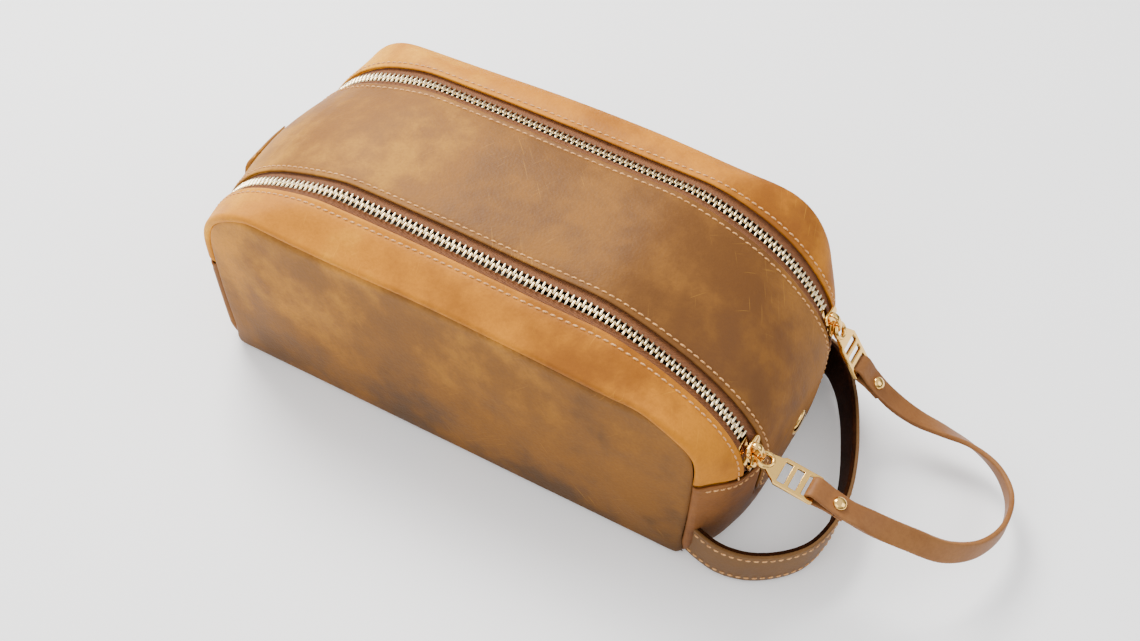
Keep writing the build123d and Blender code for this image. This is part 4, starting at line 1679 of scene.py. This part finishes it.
@dataclass(frozen=True)
class Hide(Finish):
    """Waxed pull-up leather with mottling, specks and light scratches, and painted light and shade: its tone
    leans lighter towards the lit left and top and darker towards the right and bottom.
    """

    name: str
    dark: Colour
    mid: Colour
    light: Colour
    # lean: painted light and shade, the tone's change along x, y and z per metre
    lean: Colour = (0.0, 0.0, 0.0)
    lean_level: float = 0.0
    roughness: float = 0.58
    grain: float = 0.00022
    scratch: float = 0.3

    def build(self, masks: bpy.types.NodeTree) -> bpy.types.Material:
        """Build the material; lean gives how the tone changes along x, y and z, per metre, and paints light
        and shade into the colour.

        Args:
            masks: group that gives the masks of leather.

        Returns:
            The material.
        """
        material, n, surface = self.material(self.name)
        place = n.add("ShaderNodeTexCoord").outputs["Object"]
        mask = n.add("ShaderNodeGroup", {0: place}, node_tree=masks)
        # Painted light and shade: the tone rises along lean, lighter on the lit left and upper side, darker
        # low on the right.
        slope = n.add("ShaderNodeVectorMath", {0: place, 1: self.lean}, operation="DOT_PRODUCT")
        level = n.math("ADD", slope.outputs["Value"], self.lean_level)
        tone = n.math("ADD", level, n.math("MULTIPLY", mask.outputs["Mottle"], 0.5))
        low = n.mix(n.span(tone, 0.0, 0.5), self.dark, self.mid)
        colour = n.mix(n.span(tone, 0.45, 1.0), low, self.light)
        speck = n.math("MULTIPLY", mask.outputs["Speck"], 0.16)
        colour = n.mix(speck, colour, self.dark)
        colour = n.mix(n.math("MULTIPLY", mask.outputs["Scratch"], self.scratch), colour, self.light)
        rough = n.math("ADD", self.roughness - 0.08, n.math("MULTIPLY", mask.outputs["Mottle"], 0.16))
        n.tree.links.new(rough, surface.inputs["Roughness"])
        n.tree.links.new(colour, surface.inputs["Base Color"])
        n.tree.links.new(n.bump(mask.outputs["Grain"], self.grain, 0.6), surface.inputs["Normal"])
        surface.inputs["Specular IOR Level"].default_value = 0.17
        return material


@dataclass(frozen=True)
class Nap(Finish):
    """Fuzzy flesh side or raw cut edge of leather."""

    name: str
    dark: Colour
    light: Colour
    scale: float = 900.0
    depth: float = 0.0005

    def build(self) -> bpy.types.Material:
        """Build the material.

        Returns:
            The material.
        """
        material, n, surface = self.material(self.name)
        place = n.add("ShaderNodeTexCoord").outputs["Object"]
        fuzz = n.noise(place, self.scale, 4.0, 0.7)
        patch = n.noise(place, 60.0, 3.0)
        shade = n.math("ADD", n.math("MULTIPLY", fuzz, 0.6), n.math("MULTIPLY", patch, 0.4))
        colour = n.mix(n.span(shade, 0.35, 0.65), self.dark, self.light)
        n.tree.links.new(colour, surface.inputs["Base Color"])
        n.tree.links.new(n.bump(fuzz, self.depth, 0.9), surface.inputs["Normal"])
        surface.inputs["Roughness"].default_value = 0.85
        surface.inputs["Specular IOR Level"].default_value = 0.06
        return material


@dataclass(frozen=True)
class Cloth(Finish):
    """Woven tape or lining, patterned along its own map."""

    name: str
    dark: Colour
    light: Colour
    depth: float = 0.0003

    def build(self, weave: bpy.types.NodeTree) -> bpy.types.Material:
        """Build the material.

        Args:
            weave: group that gives the weave.

        Returns:
            The material.
        """
        material, n, surface = self.material(self.name)
        place = n.add("ShaderNodeTexCoord").outputs["UV"]
        mask = n.add("ShaderNodeGroup", {0: place}, node_tree=weave)
        colour = n.mix(mask.outputs["Shade"], self.dark, self.light)
        n.tree.links.new(colour, surface.inputs["Base Color"])
        n.tree.links.new(n.bump(mask.outputs["Height"], self.depth, 0.8), surface.inputs["Normal"])
        surface.inputs["Roughness"].default_value = 0.8
        surface.inputs["Sheen Weight"].default_value = 0.06
        return material


@dataclass(frozen=True)
class Metal(Finish):
    """Polished plated metal with faint hairlines."""

    name: str
    colour: Colour
    roughness: float

    def build(self) -> bpy.types.Material:
        """Build the material.

        Returns:
            The material.
        """
        material, n, surface = self.material(self.name)
        place = n.add("ShaderNodeTexCoord").outputs["Object"]
        haze = n.noise(place, 260.0, 2.0)
        line = n.noise(n.stretched(place, (160.0, 2600.0, 700.0), (0.4, 0.2, 0.5)), 1.0, 2.0)
        rough = n.math("ADD", self.roughness - 0.03, n.math("MULTIPLY", n.math("ADD", haze, line), 0.05))
        n.tree.links.new(rough, surface.inputs["Roughness"])
        n.tree.links.new(n.bump(line, 0.00001, 0.25), surface.inputs["Normal"])
        surface.inputs["Base Color"].default_value = (*self.colour, 1.0)
        surface.inputs["Metallic"].default_value = 1.0
        return material


@dataclass(frozen=True)
class Plain(Finish):
    """Even surface with faint clouding, such as thread, board or the floor."""

    name: str
    dark: Colour
    light: Colour
    roughness: float = 0.7
    scale: float = 400.0
    glow: float = 0.0

    def build(self) -> bpy.types.Material:
        """Build the material.

        Returns:
            The material.
        """
        material, n, surface = self.material(self.name)
        place = n.add("ShaderNodeTexCoord").outputs["Object"]
        cloud = n.span(n.noise(place, self.scale, 3.0), 0.3, 0.7)
        surface.inputs["Emission Color"].default_value = (1.0, 1.0, 1.0, 1.0)
        surface.inputs["Emission Strength"].default_value = self.glow
        n.tree.links.new(n.mix(cloud, self.dark, self.light), surface.inputs["Base Color"])
        surface.inputs["Roughness"].default_value = self.roughness
        return material


class Slot(Enum):
    """Material slot names that the pieces are placed with."""

    TAN = "leather_tan"
    STRAP = "leather_strap"
    SUEDE = "suede"
    TAPE = "tape"
    TEETH = "teeth"
    GOLD = "gold"
    LINING = "lining"
    BOARD = "board"


@dataclass
class Wardrobe:
    """All materials of the bag, built once."""

    made: dict = field(default_factory=dict)

    def __post_init__(self) -> None:
        """Build the node groups and the materials."""
        masks, weave = hide_group(), weave_group()
        # The lean of each hide paints light and shade into its colour: lighter towards -x and +z, where the
        # key light falls, darker towards the right and the bottom.
        hides = [
            Hide("hide_lid", (0.12, 0.046, 0.010), (0.25, 0.100, 0.015), (0.58, 0.27, 0.030),
                 (-1.5, 0.0, 0.0), 0.18),
            Hide("hide_gusset", (0.24, 0.074, 0.005), (0.55, 0.198, 0.006), (0.88, 0.41, 0.018),
                 (-1.7, 0.0, 0.6), 0.14),
            Hide("hide_front", (0.080, 0.036, 0.010), (0.21, 0.083, 0.012), (0.54, 0.225, 0.022),
                 (-1.8, 0.0, 5.5), -0.10),
            Hide("hide_band", (0.10, 0.035, 0.009), (0.22, 0.083, 0.020), (0.40, 0.18, 0.04),
                 (-1.2, 0.0, 1.5), 0.10),
            Hide("hide_strap", (0.10, 0.037, 0.010), (0.20, 0.078, 0.022), (0.31, 0.14, 0.045),
                 (0.0, 0.0, 0.0), 0.22, 0.45, 0.00012, 0.25),
            Hide("hide_handle", (0.065, 0.031, 0.009), (0.14, 0.066, 0.020), (0.23, 0.112, 0.035),
                 (0.0, 0.0, 0.0), 0.2, 0.5, 0.00015, 0.3),
        ]
        self.made = {item.name: item.build(masks) for item in hides}
        others = [
            Nap("raw_edge", (0.10, 0.035, 0.012), (0.33, 0.13, 0.04)),
            Nap("raw_orange", (0.15, 0.045, 0.010), (0.40, 0.14, 0.030)),
            Nap("flesh_side", (0.055, 0.02, 0.009), (0.15, 0.06, 0.025), 700.0),
            Nap("suede_dark", (0.010, 0.0025, 0.0004), (0.035, 0.009, 0.0015), 800.0, 0.0008),
            Metal("pale_gold", (0.80, 0.49, 0.14), 0.10),
            Metal("tooth_gold", (0.88, 0.72, 0.44), 0.15),
            Plain("thread", (0.42, 0.17, 0.045), (0.78, 0.42, 0.15), 0.6, 1400.0),
            Plain("board", (0.16, 0.15, 0.14), (0.22, 0.21, 0.19)),
            Plain("floor", (0.90, 0.90, 0.905), (0.93, 0.93, 0.935), 0.6, 3.0, 0.16),
        ]
        self.made |= {item.name: item.build() for item in others}
        cloths = [Cloth("tape", (0.085, 0.023, 0.004), (0.27, 0.088, 0.015)),
                  Cloth("lining", (0.05, 0.035, 0.025), (0.14, 0.10, 0.075), 0.0002)]
        self.made |= {item.name: item.build(weave) for item in cloths}

    def dress(self, piece: bpy.types.Object, slot: Slot | None, *names: str) -> bpy.types.Object:
        """Give a piece its materials, first to last.

        Args:
            piece: the piece.
            slot: not used.

        Returns:
            The dressed piece.
        """
        piece.data.materials.clear()
        for name in names:
            piece.data.materials.append(self.made[name])
        return piece


# ---------------------------------------------------------------- assembly
class Body(Enum):
    """Moving bodies of the frame."""

    BAG = "bag"
    LID = "lid"
    SLIDERS = "sliders"
    PULLS = "pulls"
    HANDLE = "handle"


@dataclass(frozen=True)
class Bend:
    """Joint that a piece crosses, with where it would start and end turning, in metres; nothing here turns
    the piece.
    """

    body: Body
    start: Colour
    end: Colour


LID_FOLD = Bend(Body.LID, (0.024, 0.0, 0.112), (0.058, 0.0, 0.112))
HANDLE_ROOT = Bend(Body.HANDLE, (0.138, 0.0, 0.0124), (0.160, 0.0, 0.0124))
GOLD = ("pale_gold",)
THREAD = ("thread",)
SIDES = ((-1, "front"), (1, "back"))


@dataclass
class Builder:
    """Builds the sub-assemblies, dresses them and puts them on their bodies."""

    wardrobe: Wardrobe
    form: BagForm
    shell: Shell
    count: int = 0

    def place(self, piece: bpy.types.Object, body: Body | Bend, slot: Slot | None, names: tuple,
              replaces: tuple = ()) -> None:
        """Dress a piece and let it ride on one body; a piece given a bend only has its transform baked into
        its mesh.

        Args:
            piece: the piece.
            body: the body it rides on, or the bend that it crosses.
            slot: its material slot, or None, passed on to dress.
            names: its materials, first to last.
            replaces: CAD nodes that it stands for.
        """
        self.wardrobe.dress(piece, slot, *names)
        if isinstance(body, Bend):
            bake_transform(piece)
        else:
            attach(piece, body.value)
        if replaces:
            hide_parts(*replaces)
        self.report(piece)

    def report(self, piece: bpy.types.Object) -> None:
        """Log a finished piece."""
        self.count += 1
        LOG.info("%3d %s: %d faces", self.count, piece.name, len(piece.data.polygons))

    def skin(self) -> None:
        """Leather sheets of the bag."""
        shell, tan = self.shell, Slot.TAN
        self.place(shell.lid(), LID_FOLD, tan, ("hide_lid", "raw_edge", "flesh_side"),
                   ("lid_panel", "left_top_panel"))
        for side, word in SIDES:
            self.place(shell.gusset(side, f"{word}_gusset_leather"), Body.BAG, tan,
                       ("hide_gusset", "raw_edge", "flesh_side"), (f"{word}_gusset",))
            self.place(shell.panel(side, f"{word}_panel_leather"), Body.BAG, tan,
                       ("hide_front", "raw_edge", "flesh_side"), (f"{word}_panel",))
        self.place(shell.band(), Body.BAG, tan, ("hide_band", "raw_orange", "flesh_side"), ("bottom_band",))
        self.place(shell.grip_tab(), Body.BAG, Slot.STRAP, ("hide_lid", "raw_orange", "raw_edge"),
                   ("grip_tab",))

    def inside(self) -> None:
        """Lining of the bag and of the lid."""
        lining, cloth = Lining(self.form), ("lining",) * 3
        self.place(lining.tub(), Body.BAG, Slot.LINING, cloth, ("lining",))
        self.place(lining.under_lid(), LID_FOLD, Slot.LINING, cloth, ("lid_lining",))

    def zips(self) -> None:
        """Tapes and teeth of both zips: one row of each on the gusset, one on the centre panel."""
        pair, cloth, metal = Zip(self.form), ("tape",) * 3, ("tooth_gold",)
        for side, word in SIDES:
            for inner, body, part in ((False, Body.BAG, "gusset"), (True, LID_FOLD, "centre")):
                tape = pair.tape(side, inner, f"{word}_{part}_tape")
                nodes = (f"{word}_lid_tape", "left_inner_tapes") if inner else (f"{word}_outer_tape",)
                self.place(tape, body, Slot.TAPE, cloth, nodes)
            for inner, body, part in ((False, Body.BAG, "gusset"), (True, LID_FOLD, "centre")):
                teeth = pair.teeth(side, inner, f"{word}_{part}_tooth_row")
                nodes = (f"{word}_lid_teeth", "left_inner_teeth") if inner else (f"{word}_outer_teeth",)
                self.place(teeth, body, Slot.TEETH, metal, nodes)

    def threads(self) -> None:
        """Rows of stitches on the bag."""
        seam = Seam(self.form, self.shell)
        for side, word in SIDES:
            self.place(seam.lid_edge(side, word), LID_FOLD, None, THREAD)
            self.place(seam.gusset_edge(side, word), Body.BAG, None, THREAD)
        self.place(seam.tail_end(), Body.LID, None, THREAD)
        for low, high, right, word in ((-64.0, 64.0, False, "left"), (-64.0, -37.0, True, "right_front"),
                                       (37.0, 64.0, True, "right_back")):
            self.place(seam.band_end(right, low, high, f"{word}_band_thread"), Body.BAG, None, THREAD)
        for height, word in ((72.8, "upper"), (41.0, "lower")):
            self.place(seam.tab(height, f"{word}_tab_thread"), Body.BAG, None, THREAD)

    def hardware(self) -> None:
        """Sliders, pulls, rivets, wrist strap and the snap's cap."""
        pair = {-1: Hardware(-1, 9.0, 14.0), 1: Hardware(1, 57.0, 38.0)}
        for side, word in SIDES:
            item = pair[side]
            for piece, body, nodes in (
                    (item.slider_plate(0.15, f"{word}_slider_top"), Body.SLIDERS, (f"{word}_slider",)),
                    (item.slider_plate(-4.1, f"{word}_slider_base"), Body.SLIDERS, ()),
                    (item.slider_core(f"{word}_slider_arch"), Body.SLIDERS, ()),
                    (item.slider_post(f"{word}_slider_post"), Body.SLIDERS, ()),
                    (item.pull(f"{word}_pull_plate"), Body.PULLS, (f"{word}_pull",)),
                    (item.ring(f"{word}_pull_ring"), Body.PULLS, ()),
                    (item.rivet(f"{word}_rivet_dome"), Body.PULLS, (f"{word}_rivet",))):
                self.place(piece, body, Slot.GOLD, GOLD, nodes)
        strap = WristStrap(pair[-1], pair[1])
        self.place(strap.build(), Body.PULLS, Slot.STRAP, ("hide_strap", "raw_orange"), ("wrist_strap",))
        self.place(Snap().cap(), Body.LID, Slot.GOLD, GOLD, ("snap_cap",))

    def handle(self) -> None:
        """Carrying handle with its stitches; they are placed with the bend at the sewn roots, which only
        bakes their transforms.
        """
        handle, seam = Handle(), Seam(self.form, self.shell)
        self.place(handle.ply_piece(True, "handle_face"), HANDLE_ROOT, Slot.STRAP,
                   ("hide_handle", "raw_orange"), ("handle_outer_ply", "handle_roots"))
        self.place(handle.ply_piece(False, "handle_back"), HANDLE_ROOT, Slot.SUEDE,
                   ("suede_dark", "raw_orange"), ("handle_inner_ply",))
        for sign, word in ((1, "upper"), (-1, "lower")):
            row = handle.thread(seam, sign * handle.thread_height, f"{word}_handle_thread")
            self.place(row, HANDLE_ROOT, None, THREAD)

    def kept(self) -> None:
        """Materials for the CAD nodes that stay in view."""
        finishes = {"bottom_stops": "tooth_gold", "outer_top_stops": "tooth_gold",
                    "lid_top_stops": "tooth_gold", "snap_socket": "pale_gold", "snap_stud": "pale_gold",
                    "base_board": "board"}
        for node, finish in finishes.items():
            self.wardrobe.dress(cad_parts[node], None, finish)
        LOG.info("%d CAD nodes kept", len(finishes))


@dataclass
class Studio:
    """Pale floor, soft lights and the camera."""

    eye: Colour = (0.2440, -0.3737, 0.5504)
    look: Colour = (-0.3206, 0.5586, -0.7649)
    lens: float = 44.56
    reach: float = 3000.0
    lamps: tuple = (
        ("key", (-0.85, 0.55, 1.25), (0.02, 0.0, 0.05), 0.7, 44.0, (1.0, 0.985, 0.96)),
        ("fill", (-0.3, -1.4, 1.2), (0.0, 0.0, 0.05), 1.4, 13.0, (1.0, 0.99, 0.98)),
        ("right", (1.3, 0.3, 0.9), (0.1, 0.0, 0.04), 1.0, 9.0, (0.97, 0.985, 1.0)))

    def floor(self, wardrobe: Wardrobe) -> None:
        """Large pale floor.

        Args:
            wardrobe: the materials.
        """
        square = self.reach * np.array([[-1.0, -1.0], [1.0, -1.0], [1.0, 1.0], [-1.0, 1.0]])
        points = np.concatenate([np.column_stack([square, np.full(4, z)]) for z in (-0.3, -20.0)])
        quads = np.array([[0, 1, 2, 3], [7, 6, 5, 4], [0, 4, 5, 1], [1, 5, 6, 2], [2, 6, 7, 3],
                          [3, 7, 4, 0]])
        floor = make_object("studio_floor", points, quads, smooth=False)
        wardrobe.dress(floor, None, "floor")

    def lamp(self, name: str, place: Colour, target: Colour, size: float, power: float,
             colour: Colour) -> None:
        """Square soft light aimed at a target.

        Args:
            name: name of the piece.
            place: where the lamp stands.
            target: where it points.
            size: side of the lamp.
            power: power in watts.
            colour: colour of the light.
        """
        data = bpy.data.lights.new(name, "AREA")
        data.size, data.energy, data.color = size, power, colour
        lamp = bpy.data.objects.new(name, data)
        lamp.location = place
        direction = Vector(target) - Vector(place)
        lamp.rotation_euler = direction.to_track_quat("-Z", "Y").to_euler()
        bpy.context.scene.collection.objects.link(lamp)

    def sky(self) -> None:
        """Soft surroundings: bright overhead, darker towards the horizon and on one side."""
        world = bpy.data.worlds.new("studio")
        bpy.context.scene.world = world
        world.use_nodes = True
        nodes = Nodes(world.node_tree)
        around = nodes.add("ShaderNodeTexCoord").outputs["Generated"]
        parts = nodes.add("ShaderNodeSeparateXYZ", {0: around}).outputs
        lean = nodes.math("SUBTRACT", parts[2], nodes.math("MULTIPLY", parts[0], 0.25))
        height = nodes.span(lean, 0.0, 0.8)
        shade = nodes.mix(height, (0.16, 0.165, 0.18), (1.0, 1.0, 1.0))
        back = nodes.add("ShaderNodeBackground", {0: shade, 1: 1.35})
        nodes.add("ShaderNodeOutputWorld", {0: back.outputs[0]})

    def build(self, wardrobe: Wardrobe) -> None:
        """Floor, lights, backdrop and camera.

        Args:
            wardrobe: the materials.
        """
        self.floor(wardrobe)
        for lamp in self.lamps:
            self.lamp(*lamp)
        self.sky()
        data = bpy.data.cameras.new("main_camera")
        data.sensor_width, data.lens = 36.0, self.lens
        camera = bpy.data.objects.new("main_camera", data)
        camera.location = self.eye
        camera.rotation_euler = Vector(self.look).to_track_quat("-Z", "Y").to_euler()
        bpy.context.scene.collection.objects.link(camera)
        bpy.context.scene.camera = camera


def main() -> None:
    """Build the whole bag in order and report each piece."""
    logging.basicConfig(level=logging.INFO, format="%(name)s %(message)s")
    wardrobe = Wardrobe()
    form = BagForm()
    builder = Builder(wardrobe, form, Shell(form))
    builder.skin()
    builder.inside()
    builder.zips()
    builder.threads()
    builder.hardware()
    builder.handle()
    builder.kept()
    Studio().build(wardrobe)
    LOG.info("%d pieces", builder.count)


if __name__ == "__main__":
    main()
